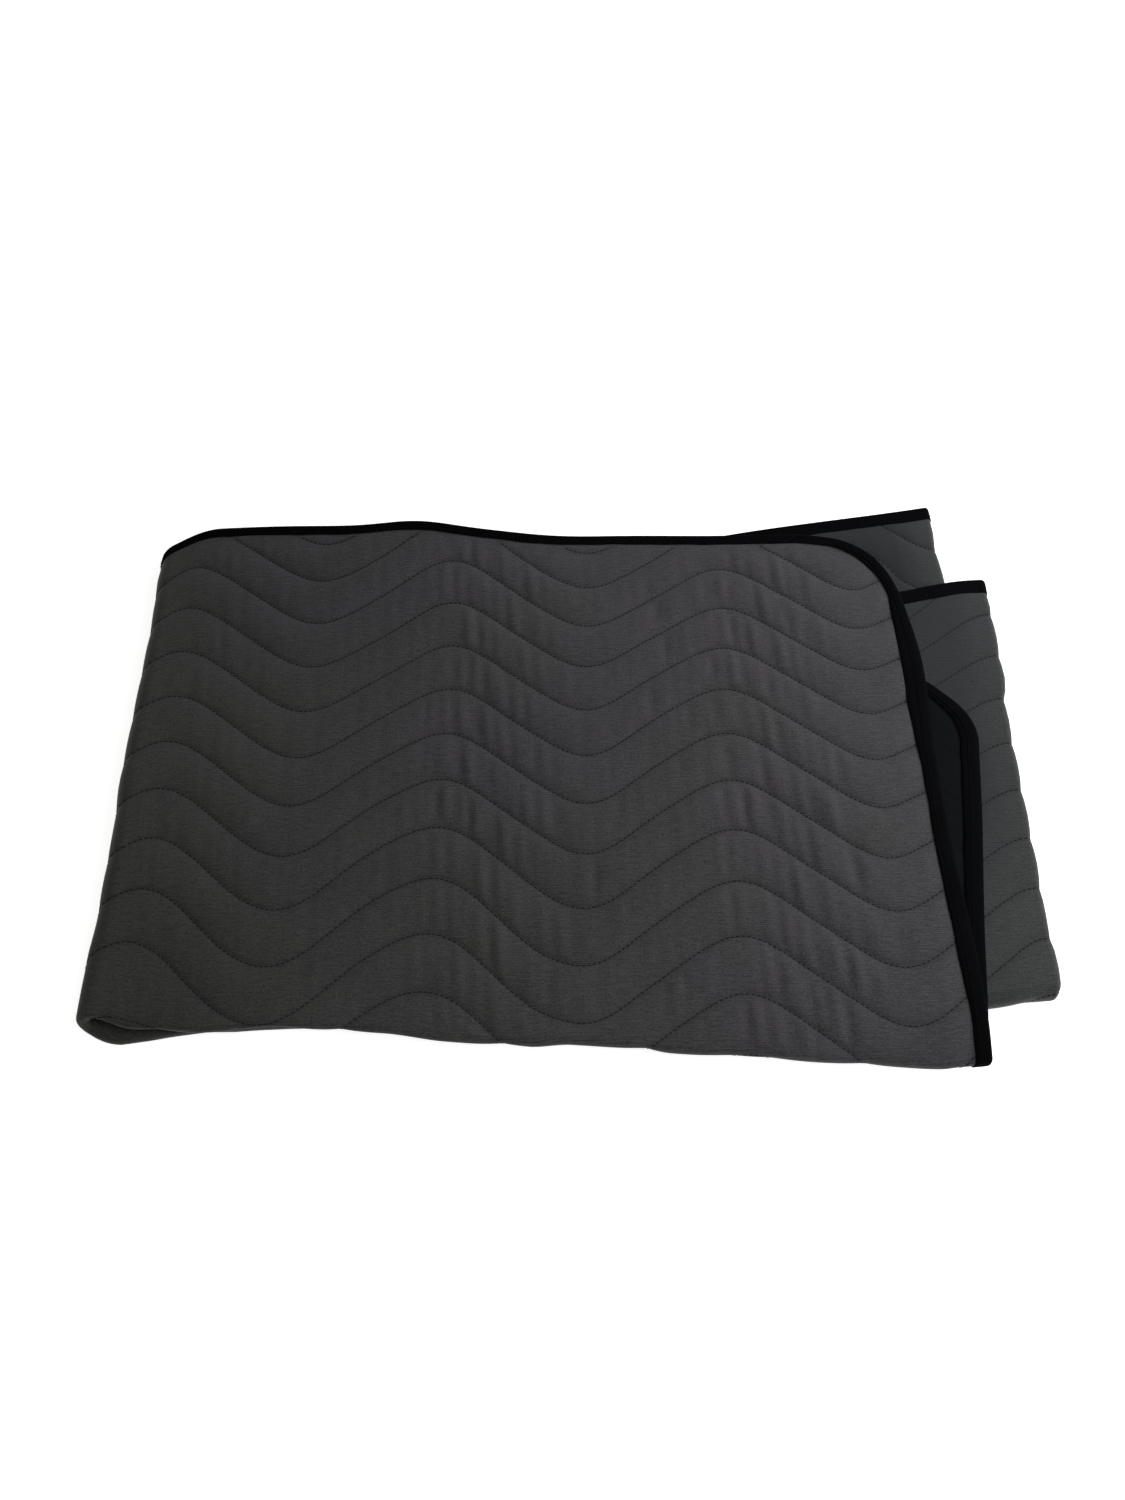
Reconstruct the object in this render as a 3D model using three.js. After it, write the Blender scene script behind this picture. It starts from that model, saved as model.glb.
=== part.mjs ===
// A quilted armchair cover, folded flat for storage. All sizes are in millimetres, with +Z up.
// One padded sheet, grey on its face and black on its back, is bound all round with a black tape.
// Its right end is turned in over the black side, the long front edge is folded up with the black
// side inside, and the left end is laid over the top, so that six layers lie on each other.
//
// Places on the cloth are given flat: s runs along the cloth, with 0 at the left fold, negative on
// the part laid on top and positive on the part underneath; y runs across it, with 0 at the front
// fold, positive on the deep half and negative on the shallow half; h is the height above the grey
// face. placeOnFolds carries such a place to where it lies in the folded cover.

import * as THREE from 'three';

// The cloth, flat
const DEEP_HALF = 515;
const SHALLOW_HALF = 410;
const TOP_LENGTH = 753;
const BASE_LENGTH = 824.7;
const FLAP_LENGTH = 560;
const CORNER_RADIUS = 76;
const CORNER_ANGLES = [0, 34, 62, 90].map(THREE.MathUtils.degToRad);

// Through the thickness, from the grey face up
const FACE_THICKNESS = 3.6;
const PIECE_GAP = 0.3;
const BACKING_THICKNESS = 1;
const BACKING_LOW = FACE_THICKNESS + PIECE_GAP;
const BACKING_HIGH = BACKING_LOW + BACKING_THICKNESS;

// The edge is pressed flat under the binding
const EDGE_RAISE = 1.2;
const EDGE_PRESS = 0.4;
const BACKING_EDGE_PRESS = 0.5;
const PRESS_FULL = 26;
const PRESS_FADE = 34;

// Binding tape, folded over the edge
const BINDING_WIDTH = 13;
const BINDING_THICKNESS = 0.8;
const EDGE_INSET = 1.5;

// Quilting: wavy sewn lines across the whole cloth
const LINE_SPACING = 48;
const WAVE_PERIOD = 262;
const WAVE_HEIGHT = 35;
const WAVE_CREST = -44;
const GROOVE_DEPTH = 1.6;
const POINTS_PER_WAVE = 6;

// Folds: the height of each fold's axis, and the radius along which the cloth keeps its length
const PAIR_AXIS = 5.8;
const PAIR_RADIUS = 3.3;
const BASE_AXIS = 11.9;
const BASE_RADIUS = 9.4;
const LEFT_AXIS = 18;
const LEFT_RADIUS = 12;
const BASE_RISE_LENGTH = 120;
const LEFT_HALF_ARC = Math.PI * LEFT_RADIUS / 2;
const LEFT_BLEND = 60;
const RIGHT_HALF_ARC = Math.PI * PAIR_RADIUS / 2;
const RIGHT_LINE = BASE_LENGTH - RIGHT_HALF_ARC;
const FOLDED_WIDTH = RIGHT_LINE - LEFT_HALF_ARC;

// Where the corners of each layer lie, seen from above: x and y of the axis of the folds and of the
// bound back edge. The front fold is not square to the sides, so each layer is a little askew.
const LEFT_X = -397;
const LAYER_CORNERS = {
  topDeep: {
    frontLeft: [LEFT_X, -245], frontRight: [400, -292], backLeft: [LEFT_X, 245], backRight: [400, 236],
  },
  topShallow: {
    frontLeft: [LEFT_X, -245], frontRight: [400, -292], backLeft: [LEFT_X, 159], backRight: [448, 63],
  },
  baseDeep: {
    frontLeft: [LEFT_X, -262], frontRight: [404, -227], backLeft: [LEFT_X, 222], backRight: [371, 293],
  },
  baseShallow: {
    frontLeft: [LEFT_X, -262], frontRight: [404, -227], backLeft: [LEFT_X, 150], backRight: [409, 192],
  },
  flapDeep: {
    frontLeft: [LEFT_X, -262], frontRight: [404, -227], backLeft: [LEFT_X, 105], backRight: [371, 293],
  },
  flapShallow: {
    frontLeft: [LEFT_X, -262], frontRight: [404, -227], backLeft: [LEFT_X, 55], backRight: [409, 190],
  },
};
const CORNER_NAMES = ['frontLeft', 'frontRight', 'backLeft', 'backRight'];

// Soft swells and hollows of the whole stack: place, reach each way, and share of the height
const SWELLS = [
  { x: -150, y: 250, reachX: 115, reachY: 110, share: 0.3 },
  { x: 60, y: 250, reachX: 120, reachY: 120, share: -0.1 },
  { x: -120, y: -250, reachX: 230, reachY: 70, share: -0.22 },
  { x: -300, y: 0, reachX: 120, reachY: 200, share: -0.06 },
  { x: 180, y: 20, reachX: 150, reachY: 140, share: 0.07 },
];

// The top pair of layers hangs over the front of the base and droops there
const DROOP_START = 14;
const DROOP_REACH = 95;
const DROOP_DEPTH = 16;

const COLOURS = { face: 0x3b3b3d, backing: 0x121314, binding: 0x0a0b0c };

function smoothStep(t) {
  const u = THREE.MathUtils.clamp(t, 0, 1);
  return u * u * (3 - 2 * u);
}

function mixPoints(a, b, t) {
  return [a[0] + (b[0] - a[0]) * t, a[1] + (b[1] - a[1]) * t];
}

// One fold about an axis at height axis: places before the fold keep their height, places on its arc
// go round it, and places past it lie upside down on the others. Returns distance from the axis and height.
function bend(distance, height, axis, radius) {
  const halfArc = Math.PI * radius / 2;
  if (distance >= halfArc) {
    return [distance - halfArc, height];
  }
  if (distance <= -halfArc) {
    return [-distance - halfArc, 2 * axis - height];
  }
  const angle = (halfArc - distance) / radius;
  const reach = axis - height;
  return [-reach * Math.sin(angle), axis - reach * Math.cos(angle)];
}

// The front fold is tight on the part laid on top, and wider where the flap lies inside it.
function frontFold(x) {
  const rise = smoothStep(x / BASE_RISE_LENGTH);
  return {
    axis: PAIR_AXIS + (BASE_AXIS - PAIR_AXIS) * rise,
    radius: PAIR_RADIUS + (BASE_RADIUS - PAIR_RADIUS) * rise,
  };
}

function afterRightFold(s, h) {
  const [distance, height] = bend(BASE_LENGTH - s, h, PAIR_AXIS, PAIR_RADIUS);
  return [RIGHT_LINE - distance, height];
}

// Corners of the layer at a place on the cloth, passing smoothly from layer to layer over the folds.
function layerCorners(s, y, frontHalfArc) {
  const onBase = smoothStep((s + LEFT_BLEND) / (2 * LEFT_BLEND));
  const onFlap = smoothStep((s - BASE_LENGTH + RIGHT_HALF_ARC) / (2 * RIGHT_HALF_ARC));
  const onShallow = smoothStep((frontHalfArc - y) / (2 * frontHalfArc));
  return CORNER_NAMES.map((corner) => {
    const [deep, shallow] = ['Deep', 'Shallow'].map((half) => {
      const lower = mixPoints(
        LAYER_CORNERS['base' + half][corner], LAYER_CORNERS['flap' + half][corner], onFlap);
      return mixPoints(LAYER_CORNERS['top' + half][corner], lower, onBase);
    });
    return mixPoints(deep, shallow, onShallow);
  });
}

function frontOfBase(x) {
  const { frontLeft, frontRight } = LAYER_CORNERS.baseDeep;
  const along = (x - frontLeft[0]) / (frontRight[0] - frontLeft[0]);
  return frontLeft[1] + (frontRight[1] - frontLeft[1]) * along;
}

// Height after the swells and the droop; both leave the floor side flat.
function settledHeight(x, y, z) {
  let share = 1;
  for (const swell of SWELLS) {
    const across = (x - swell.x) / swell.reachX;
    const along = (y - swell.y) / swell.reachY;
    share += swell.share * Math.exp(-(across * across + along * along) / 2);
  }
  const overhang = frontOfBase(x) - DROOP_START - y;
  const droop = DROOP_DEPTH * smoothStep(overhang / DROOP_REACH);
  return z * share - droop * smoothStep(z / LEFT_AXIS);
}

// The place in the folded cover of a place on the flat cloth.
function placeOnFolds(s, y, h) {
  const [x, heightOnFlap] = afterRightFold(s, h);
  const front = frontFold(x);
  const frontHalfArc = Math.PI * front.radius / 2;
  const [depth, heightOnPair] = bend(y, heightOnFlap, front.axis, front.radius);
  const [width, height] = bend(x, heightOnPair, LEFT_AXIS, LEFT_RADIUS);
  const [frontLeft, frontRight, backLeft, backRight] = layerCorners(s, y, frontHalfArc);
  const onShallow = smoothStep((frontHalfArc - y) / (2 * frontHalfArc));
  const fullDepth = DEEP_HALF + (SHALLOW_HALF - DEEP_HALF) * onShallow - frontHalfArc;
  const across = width / FOLDED_WIDTH;
  const plan = mixPoints(
    mixPoints(frontLeft, frontRight, across), mixPoints(backLeft, backRight, across), depth / fullDepth);
  return new THREE.Vector3(plan[0], plan[1], settledHeight(plan[0], plan[1], height));
}

// Stations along the cloth
const CLOTH_START = -TOP_LENGTH + EDGE_INSET;
const CLOTH_END = BASE_LENGTH + FLAP_LENGTH - EDGE_INSET;
const INNER_RADIUS = CORNER_RADIUS - EDGE_INSET;
const HIDDEN_STEP = 70;
const LEFT_FOLD_STEPS = 6;
const RIGHT_FOLD_STEPS = 4;
const SEEN_STRIP = 180;

function evenSteps(from, to, count) {
  return Array.from({ length: count }, (_, step) => from + (to - from) * (step + 1) / count);
}

function stepsNear(from, to, size) {
  return evenSteps(from, to, Math.max(1, Math.round((to - from) / size)));
}

function clothStations() {
  const waveStep = WAVE_PERIOD / POINTS_PER_WAVE;
  const cornerSteps = CORNER_ANGLES.map((angle) => INNER_RADIUS * (1 - Math.cos(angle)));
  const firstWave = CLOTH_START + INNER_RADIUS;
  const seenBase = RIGHT_LINE - SEEN_STRIP / 2;
  const flapStart = BASE_LENGTH + RIGHT_HALF_ARC;
  const flapCorner = CLOTH_END - INNER_RADIUS;
  return [
    ...cornerSteps.map((step) => CLOTH_START + step),
    ...stepsNear(firstWave, WAVE_CREST, waveStep),
    ...evenSteps(WAVE_CREST, -LEFT_HALF_ARC, 1),
    ...evenSteps(-LEFT_HALF_ARC, LEFT_HALF_ARC, LEFT_FOLD_STEPS),
    ...stepsNear(LEFT_HALF_ARC, seenBase, HIDDEN_STEP),
    ...stepsNear(seenBase, RIGHT_LINE, waveStep),
    ...evenSteps(RIGHT_LINE, flapStart, RIGHT_FOLD_STEPS),
    ...stepsNear(flapStart, flapStart + SEEN_STRIP, waveStep),
    ...stepsNear(flapStart + SEEN_STRIP, flapCorner, HIDDEN_STEP),
    ...cornerSteps.reverse().slice(1).map((step) => CLOTH_END - step),
  ];
}

// Rows across the cloth, from the shallow edge to the deep one. A row follows a sewn line or the crown
// of the channel between two lines. Rows marked plain are also the rows of the smooth inner faces.
const FOLD_ROWS = [-1, -0.6, -0.2, 0.2, 0.6, 1];
const BESIDE_FOLD = 28;
const BINDING_ROW = 14;
const PLAIN_NEAR_FOLD = 2 * LINE_SPACING;
const PLAIN_EVERY = 2;

function halfRows(halfDepth) {
  const rows = [{ mean: BESIDE_FOLD, groove: 0.4, plain: true }];
  const lines = Math.floor((halfDepth - PRESS_FULL) / LINE_SPACING);
  for (let line = 1; line <= lines; line += 1) {
    const mean = line * LINE_SPACING;
    rows.push({ mean, groove: 1, plain: mean <= PLAIN_NEAR_FOLD || line % PLAIN_EVERY === 0 });
    if (line < lines) {
      const crown = mean + LINE_SPACING / 2;
      rows.push({ mean: crown, groove: 0, plain: crown <= PLAIN_NEAR_FOLD });
    }
  }
  rows.push({ mean: halfDepth - BINDING_ROW, groove: 0, plain: true });
  rows.push({ mean: halfDepth - EDGE_INSET, groove: 0, plain: true });
  return rows;
}

function clothRows() {
  const shallow = halfRows(SHALLOW_HALF).map((row) => ({ ...row, mean: -row.mean }));
  const fold = FOLD_ROWS.map((turn) => ({ turn, groove: 0, plain: true }));
  return [...shallow.reverse(), ...fold, ...halfRows(DEEP_HALF)];
}

const STATIONS = clothStations();
const ROWS = clothRows();
const WAVE_FROM_FOLD = 18;
const WAVE_FROM_EDGE = 22;
const WAVE_FADE = 85;
const CORNER_ZONE = 120;

// Depth of the cloth at a station: full along the sides, less in the rounded corners.
function depthAt(s, halfDepth) {
  const fromEnd = Math.min(s - CLOTH_START, CLOTH_END - s);
  const inCorner = Math.max(0, INNER_RADIUS - fromEnd);
  const rounded = Math.sqrt(Math.max(0, INNER_RADIUS * INNER_RADIUS - inCorner * inCorner));
  return halfDepth - EDGE_INSET - INNER_RADIUS + rounded;
}

function rowAt(row, s) {
  if (row.turn !== undefined) {
    const [x] = afterRightFold(s, 0);
    return row.turn * Math.PI * frontFold(x).radius / 2;
  }
  const side = Math.sign(row.mean);
  const halfDepth = side > 0 ? DEEP_HALF : SHALLOW_HALF;
  const mean = Math.abs(row.mean);
  const awayFromFold = smoothStep((mean - WAVE_FROM_FOLD) / WAVE_FADE);
  const awayFromEdge = smoothStep((halfDepth - WAVE_FROM_EDGE - mean) / WAVE_FADE);
  const phase = 2 * Math.PI * (s - WAVE_CREST) / WAVE_PERIOD;
  const wave = WAVE_HEIGHT * Math.cos(phase) * awayFromFold * awayFromEdge;
  const straight = mean + side * wave;
  const zoneStart = halfDepth - EDGE_INSET - CORNER_ZONE;
  const squeeze = (depthAt(s, halfDepth) - zoneStart) / CORNER_ZONE;
  return side * (straight > zoneStart ? zoneStart + (straight - zoneStart) * squeeze : straight);
}

// Distance in from the bound outline, which is a rectangle with rounded corners.
function distanceInside(s, y) {
  const halfLength = (TOP_LENGTH + BASE_LENGTH + FLAP_LENGTH) / 2;
  const halfWidth = (DEEP_HALF + SHALLOW_HALF) / 2;
  const across = Math.abs(s + TOP_LENGTH - halfLength) - halfLength + CORNER_RADIUS;
  const along = Math.abs(y + SHALLOW_HALF - halfWidth) - halfWidth + CORNER_RADIUS;
  const outside = Math.hypot(Math.max(across, 0), Math.max(along, 0));
  return CORNER_RADIUS - outside - Math.min(Math.max(across, along), 0);
}

function pressAt(s, y) {
  return 1 - smoothStep((distanceInside(s, y) - PRESS_FULL) / PRESS_FADE);
}

// The grey face: grooves at the sewn lines, but flat where the cover lies on the floor.
function faceHeight(s, y, row) {
  const underneath = s > 0 && s < BASE_LENGTH && y > 0;
  const relief = underneath ? 0 : GROOVE_DEPTH * row.groove;
  return THREE.MathUtils.lerp(relief, EDGE_RAISE, pressAt(s, y));
}

function facePadHeight(s, y) {
  return FACE_THICKNESS - EDGE_PRESS * pressAt(s, y);
}

function backingLowHeight(s, y) {
  return BACKING_LOW - EDGE_PRESS * pressAt(s, y);
}

function backingHighHeight(s, y) {
  return BACKING_HIGH - BACKING_EDGE_PRESS * pressAt(s, y);
}

// A closed sheet between a low and a high surface. The high surface may use only some of the rows.
function sheetGeometry(lowRows, lowHeight, highRows, highHeight) {
  const positions = [];
  const triangles = [];
  const addSurface = (rows, height) => STATIONS.map((s) => rows.map((row) => {
    const y = rowAt(row, s);
    positions.push(...placeOnFolds(s, y, height(s, y, row)).toArray());
    return positions.length / 3 - 1;
  }));
  const low = addSurface(lowRows, lowHeight);
  const high = addSurface(highRows, highHeight);
  const addFace = (a, b, c, flip) => triangles.push(...(flip ? [a, c, b] : [a, b, c]));

  for (const [grid, flip] of [[low, false], [high, true]]) {
    for (let i = 0; i + 1 < grid.length; i += 1) {
      for (let j = 0; j + 1 < grid[i].length; j += 1) {
        addFace(grid[i][j], grid[i][j + 1], grid[i + 1][j], flip);
        addFace(grid[i + 1][j], grid[i][j + 1], grid[i + 1][j + 1], flip);
      }
    }
  }
  for (const [side, flip] of [[0, false], [-1, true]]) {
    for (let i = 0; i + 1 < low.length; i += 1) {
      addFace(low[i].at(side), low[i + 1].at(side), high[i + 1].at(side), flip);
      addFace(low[i].at(side), high[i + 1].at(side), high[i].at(side), flip);
    }
  }
  for (const [end, flip] of [[0, false], [-1, true]]) {
    const lowEnd = low.at(end);
    const highEnd = high.at(end);
    let above = 0;
    for (let j = 0; j + 1 < lowEnd.length; j += 1) {
      addFace(lowEnd[j], highEnd[above], lowEnd[j + 1], flip);
      if (lowRows[j + 1] === highRows[above + 1]) {
        addFace(lowEnd[j + 1], highEnd[above], highEnd[above + 1], flip);
        above += 1;
      }
    }
  }
  return meshGeometry(positions, triangles);
}

function meshGeometry(positions, triangles) {
  const geometry = new THREE.BufferGeometry();
  geometry.setAttribute('position', new THREE.Float32BufferAttribute(positions, 3));
  geometry.setIndex(triangles);
  geometry.computeVertexNormals();
  return geometry;
}

// Places round the bound outline, with the way inwards at each, anticlockwise seen from the black side.
function outlinePlaces() {
  const cornerAt = (s) => {
    const fromEnd = Math.min(s - CLOTH_START, CLOTH_END - s);
    return Math.acos(THREE.MathUtils.clamp(1 - fromEnd / INNER_RADIUS, 0, 1));
  };
  const alongSide = (s, side) => {
    const halfDepth = side > 0 ? DEEP_HALF : SHALLOW_HALF;
    const angle = cornerAt(s);
    const end = s < 0 ? -1 : 1;
    const inS = -end * Math.cos(angle);
    const inY = -side * Math.sin(angle);
    const centre = side * (halfDepth - CORNER_RADIUS);
    return { s: s - EDGE_INSET * inS, y: centre - CORNER_RADIUS * inY, inS, inY };
  };
  const alongEnd = (row, s, outwards) => (
    { s: s + outwards * EDGE_INSET, y: rowAt(row, s), inS: -outwards, inY: 0 });
  const endRows = ROWS.slice(1, -1);
  return [
    ...STATIONS.map((s) => alongSide(s, -1)),
    ...endRows.map((row) => alongEnd(row, STATIONS.at(-1), 1)),
    ...STATIONS.toReversed().map((s) => alongSide(s, 1)),
    ...endRows.toReversed().map((row) => alongEnd(row, STATIONS[0], -1)),
  ];
}

// The tape's section: how far in from the outline, and the height
function bindingSection() {
  const lowInside = EDGE_RAISE - PIECE_GAP;
  const lowOutside = lowInside - BINDING_THICKNESS;
  const highInside = BACKING_HIGH - BACKING_EDGE_PRESS + PIECE_GAP;
  const highOutside = highInside + BINDING_THICKNESS;
  const wall = EDGE_INSET - PIECE_GAP;
  return [
    [BINDING_WIDTH, lowInside], [wall, lowInside], [wall, highInside], [BINDING_WIDTH, highInside],
    [BINDING_WIDTH, highOutside], [0, highOutside], [0, lowOutside], [BINDING_WIDTH, lowOutside],
  ];
}

function bindingGeometry() {
  const section = bindingSection();
  const places = outlinePlaces();
  const positions = [];
  const triangles = [];
  for (const place of places) {
    for (const [inwards, h] of section) {
      const s = place.s + place.inS * inwards;
      const y = place.y + place.inY * inwards;
      positions.push(...placeOnFolds(s, y, h).toArray());
    }
  }
  const corner = (place, point) => (
    (place % places.length) * section.length + (point % section.length));
  for (let place = 0; place < places.length; place += 1) {
    for (let point = 0; point < section.length; point += 1) {
      triangles.push(corner(place, point), corner(place, point + 1), corner(place + 1, point));
      triangles.push(corner(place + 1, point), corner(place, point + 1), corner(place + 1, point + 1));
    }
  }
  return meshGeometry(positions, triangles);
}

function clothMesh(name, geometry, colour) {
  const material = new THREE.MeshStandardMaterial({ color: colour, roughness: 0.95, metalness: 0 });
  const mesh = new THREE.Mesh(geometry, material);
  mesh.name = name;
  return mesh;
}

const plainRows = ROWS.filter((row) => row.plain);
const cover = new THREE.Group();
cover.add(clothMesh(
  'quilted_face', sheetGeometry(ROWS, faceHeight, plainRows, facePadHeight), COLOURS.face));
cover.add(clothMesh(
  'backing', sheetGeometry(plainRows, backingLowHeight, plainRows, backingHighHeight), COLOURS.backing));
cover.add(clothMesh('edge_binding', bindingGeometry(), COLOURS.binding));

export default cover;
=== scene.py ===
# %% [markdown]
# # A quilted armchair cover, folded for storage
#
# The real thing is one long padded sheet: charcoal microfibre on its face, plain black cloth on its
# back, quilted through in wavy lines and bound all round with black tape. Its right end is turned in,
# the long front edge is folded up, and the left end is laid over the top, so six layers lie in a pile.
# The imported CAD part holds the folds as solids. This lesson dresses them: every piece is worked out
# flat, as a tailor would lay it out, and one function then carries it on to the folds.

import bpy
import numpy as np
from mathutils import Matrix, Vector


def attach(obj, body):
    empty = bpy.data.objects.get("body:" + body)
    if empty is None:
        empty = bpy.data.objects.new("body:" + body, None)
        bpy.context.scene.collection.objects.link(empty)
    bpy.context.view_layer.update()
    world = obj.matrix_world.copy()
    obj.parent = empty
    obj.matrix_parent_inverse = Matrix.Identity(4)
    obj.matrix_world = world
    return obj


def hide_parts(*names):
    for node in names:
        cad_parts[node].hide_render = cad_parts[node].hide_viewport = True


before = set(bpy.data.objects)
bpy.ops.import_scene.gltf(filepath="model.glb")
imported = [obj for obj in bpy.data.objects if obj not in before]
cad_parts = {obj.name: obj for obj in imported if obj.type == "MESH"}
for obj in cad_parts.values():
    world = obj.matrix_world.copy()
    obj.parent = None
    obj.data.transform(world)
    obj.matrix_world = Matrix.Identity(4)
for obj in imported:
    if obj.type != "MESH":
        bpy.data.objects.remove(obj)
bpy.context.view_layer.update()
print("CAD nodes:", sorted(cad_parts))

# %% [markdown]
# ## Camera
#
# The photograph looks down on the pile from the front. Its lens is taken to have a phone camera's usual
# angle of view. The left fold and the right edge of the top layer are taken as parallel, which gives
# the camera's tilt, and the 48 mm between two quilting lines give its height. Blender measures a lens
# against the long side of the picture, so the focal length in pixels is turned into a lens by the
# sensor's width over the picture's height.

# %% Camera
MM = 0.001
PHOTO_HEIGHT = 1500
FOCAL_PIXELS = 1129
SENSOR_WIDTH = 36.0
CAMERA_PLACE = (-12, -489, 950)
CAMERA_DIP = 62.3

camera_data = bpy.data.cameras.new("camera")
camera_data.sensor_width = SENSOR_WIDTH
camera_data.lens = SENSOR_WIDTH * FOCAL_PIXELS / PHOTO_HEIGHT
camera = bpy.data.objects.new("camera", camera_data)
camera.location = np.array(CAMERA_PLACE) * MM
camera.rotation_euler = (np.radians(90 - CAMERA_DIP), 0, 0)
bpy.context.scene.collection.objects.link(camera)
bpy.context.scene.camera = camera
print("lens", round(camera_data.lens, 2), "mm")

# %% [markdown]
# ## Folding the cloth
#
# A place on the flat cloth has three numbers, in millimetres: s along it, 0 at the left fold, negative
# on the part laid on top and positive underneath; y across it, 0 at the front fold, positive on the
# deep half; h up from the grey face to the black back. Cloth simulation could fold a sheet, but six
# layers pressed into 45 mm would fight each other. A fold is also a plain sum: past its line the cloth
# goes round half a circle and comes back upside down. Three such sums, one after the other, fold all
# pieces alike, so the face, its backing, the tape and every stitch stay together.

# %% Sizes of the flat cloth and its folds
DEEP_HALF = 515
SHALLOW_HALF = 410
TOP_LENGTH = 753
BASE_LENGTH = 824.7
FLAP_LENGTH = 560
CORNER_RADIUS = 76
PAIR_AXIS, PAIR_RADIUS = 5.8, 3.3
BASE_AXIS, BASE_RADIUS = 11.9, 9.4
LEFT_AXIS, LEFT_RADIUS = 18, 12
BASE_RISE_LENGTH = 120
LEFT_BLEND = 60
LEFT_HALF_ARC = np.pi * LEFT_RADIUS / 2
RIGHT_HALF_ARC = np.pi * PAIR_RADIUS / 2
RIGHT_LINE = BASE_LENGTH - RIGHT_HALF_ARC
FOLDED_WIDTH = RIGHT_LINE - LEFT_HALF_ARC
FLAT_SIZE = (DEEP_HALF + SHALLOW_HALF, TOP_LENGTH + BASE_LENGTH + FLAP_LENGTH)

# Where each layer's corners lie from above: x and y of front left, front right, back left, back right
LEFT_X = -397
LAYER_CORNERS = {
    "top_deep": ((LEFT_X, -245), (400, -292), (LEFT_X, 245), (400, 236)),
    "top_shallow": ((LEFT_X, -245), (400, -292), (LEFT_X, 159), (448, 63)),
    "base_deep": ((LEFT_X, -262), (404, -227), (LEFT_X, 222), (371, 293)),
    "base_shallow": ((LEFT_X, -262), (404, -227), (LEFT_X, 150), (409, 192)),
    "flap_deep": ((LEFT_X, -262), (404, -227), (LEFT_X, 105), (371, 293)),
    "flap_shallow": ((LEFT_X, -262), (404, -227), (LEFT_X, 55), (409, 190)),
}
CORNERS = np.array(list(LAYER_CORNERS.values()), float)

# Soft swells of the whole pile: x, y, reach each way, share of the height
SWELLS = (
    (-150, 250, 115, 110, 0.3),
    (60, 250, 120, 120, -0.1),
    (-120, -250, 230, 70, -0.22),
    (-300, 0, 120, 200, -0.06),
    (180, 20, 150, 140, 0.07),
    (-395, -255, 70, 60, -0.3),
    (-412, 240, 22, 70, -0.15),
)
DROOP_START, DROOP_REACH, DROOP_DEPTH = 14, 95, 16

# Small shifts from above, since layers laid by hand have no quite straight edges. Layers moved, by
# their place in the table above; zone; x (0) or y (1); millimetres; where along the edge each starts
# and is full: x along the front and back edges, y along the left and right edges
TOP_DEEP, TOP_SHALLOW, BASE_DEEP, BASE_SHALLOW, FLAP_DEEP = [0], [1], [2], [3], [4]
UPPER, LOWER, LOWER_DEEP, ALL_LAYERS = [0, 1], [2, 3, 4, 5], [2, 4], [0, 1, 2, 3, 4, 5]
NUDGES = (
    (ALL_LAYERS, "left", 0, -3, -500, -400),
    (ALL_LAYERS, "left", 0, 3.2, -210, -170),
    (ALL_LAYERS, "left", 0, -3.2, -90, -30),
    (ALL_LAYERS, "left", 0, -4, 120, 225),
    (UPPER, "front", 1, 11, -600, -500),
    (UPPER, "front", 1, -19, -413, -365),
    (UPPER, "front", 1, 8, -320, -230),
    (UPPER, "front", 1, -4, -160, -110),
    (UPPER, "front", 1, 3.5, -40, -5),
    (UPPER, "front", 1, -2, 45, 75),
    (UPPER, "front", 1, 6, 290, 345),
    (LOWER, "front", 1, -4, -500, -450),
    (LOWER, "front", 1, 13, -400, -295),
    (LOWER, "front", 1, -9, -100, 100),
    (LOWER, "front", 1, 4.5, 335, 410),
    (LOWER, "front", 0, -2, 370, 405),
    (BASE_SHALLOW, "back", 1, -14, 400, 290),
    (BASE_DEEP, "back", 1, -28, 371, 139),
    (FLAP_DEEP, "back", 1, 18, 430, 120),
    (LOWER_DEEP, "right", 0, -4, 285, 240),
    (LOWER, "right", 0, -4, 75, 45),
    (LOWER, "right", 0, 3, -165, -205),
    (TOP_DEEP, "right", 0, 3, -500, -400),
    (TOP_DEEP, "right", 0, -12, -225, -70),
    (TOP_DEEP, "right", 0, 5, -10, 70),
    (TOP_DEEP, "right", 0, -20, 80, 200),
    (TOP_DEEP, "back", 1, -6, 225, 300),
    (TOP_SHALLOW, "back", 1, -5, 325, 350),
    (TOP_SHALLOW, "right", 0, 4, -200, -50),
)

# Where the zones lie: a share of the layer's depth at the front and the back; at the left and the right,
# the x where each starts and where it is full
FRONT_ZONE, BACK_ZONE = 0.3, 0.3
LEFT_ZONE, RIGHT_ZONE = (-330, LEFT_X), (250, 400)

# Waves of the top layer's back edge: middle x, reach, millimetres to the back
BACK_WAVES = ((-300, 80, 3.2), (-160, 45, 7), (-20, 65, -5), (210, 50, 2))
print("flat cloth", FLAT_SIZE, "mm")


# %% Fold sums
def smooth_step(t):
    """0 before 0, 1 after 1, and an S between them: 3 t squared less 2 t cubed."""
    u = np.clip(t, 0.0, 1.0)
    return u * u * (3 - 2 * u)


def step_between(value, start, full):
    """The same S, from 0 where the value is at its start to 1 where it is full."""
    return smooth_step((value - start) / (full - start))


def bell(value, middle, reach):
    """1 at its middle and less to both sides: e to minus the square of the distance over the reach."""
    return np.exp(-((value - middle) / reach) ** 2)


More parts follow.
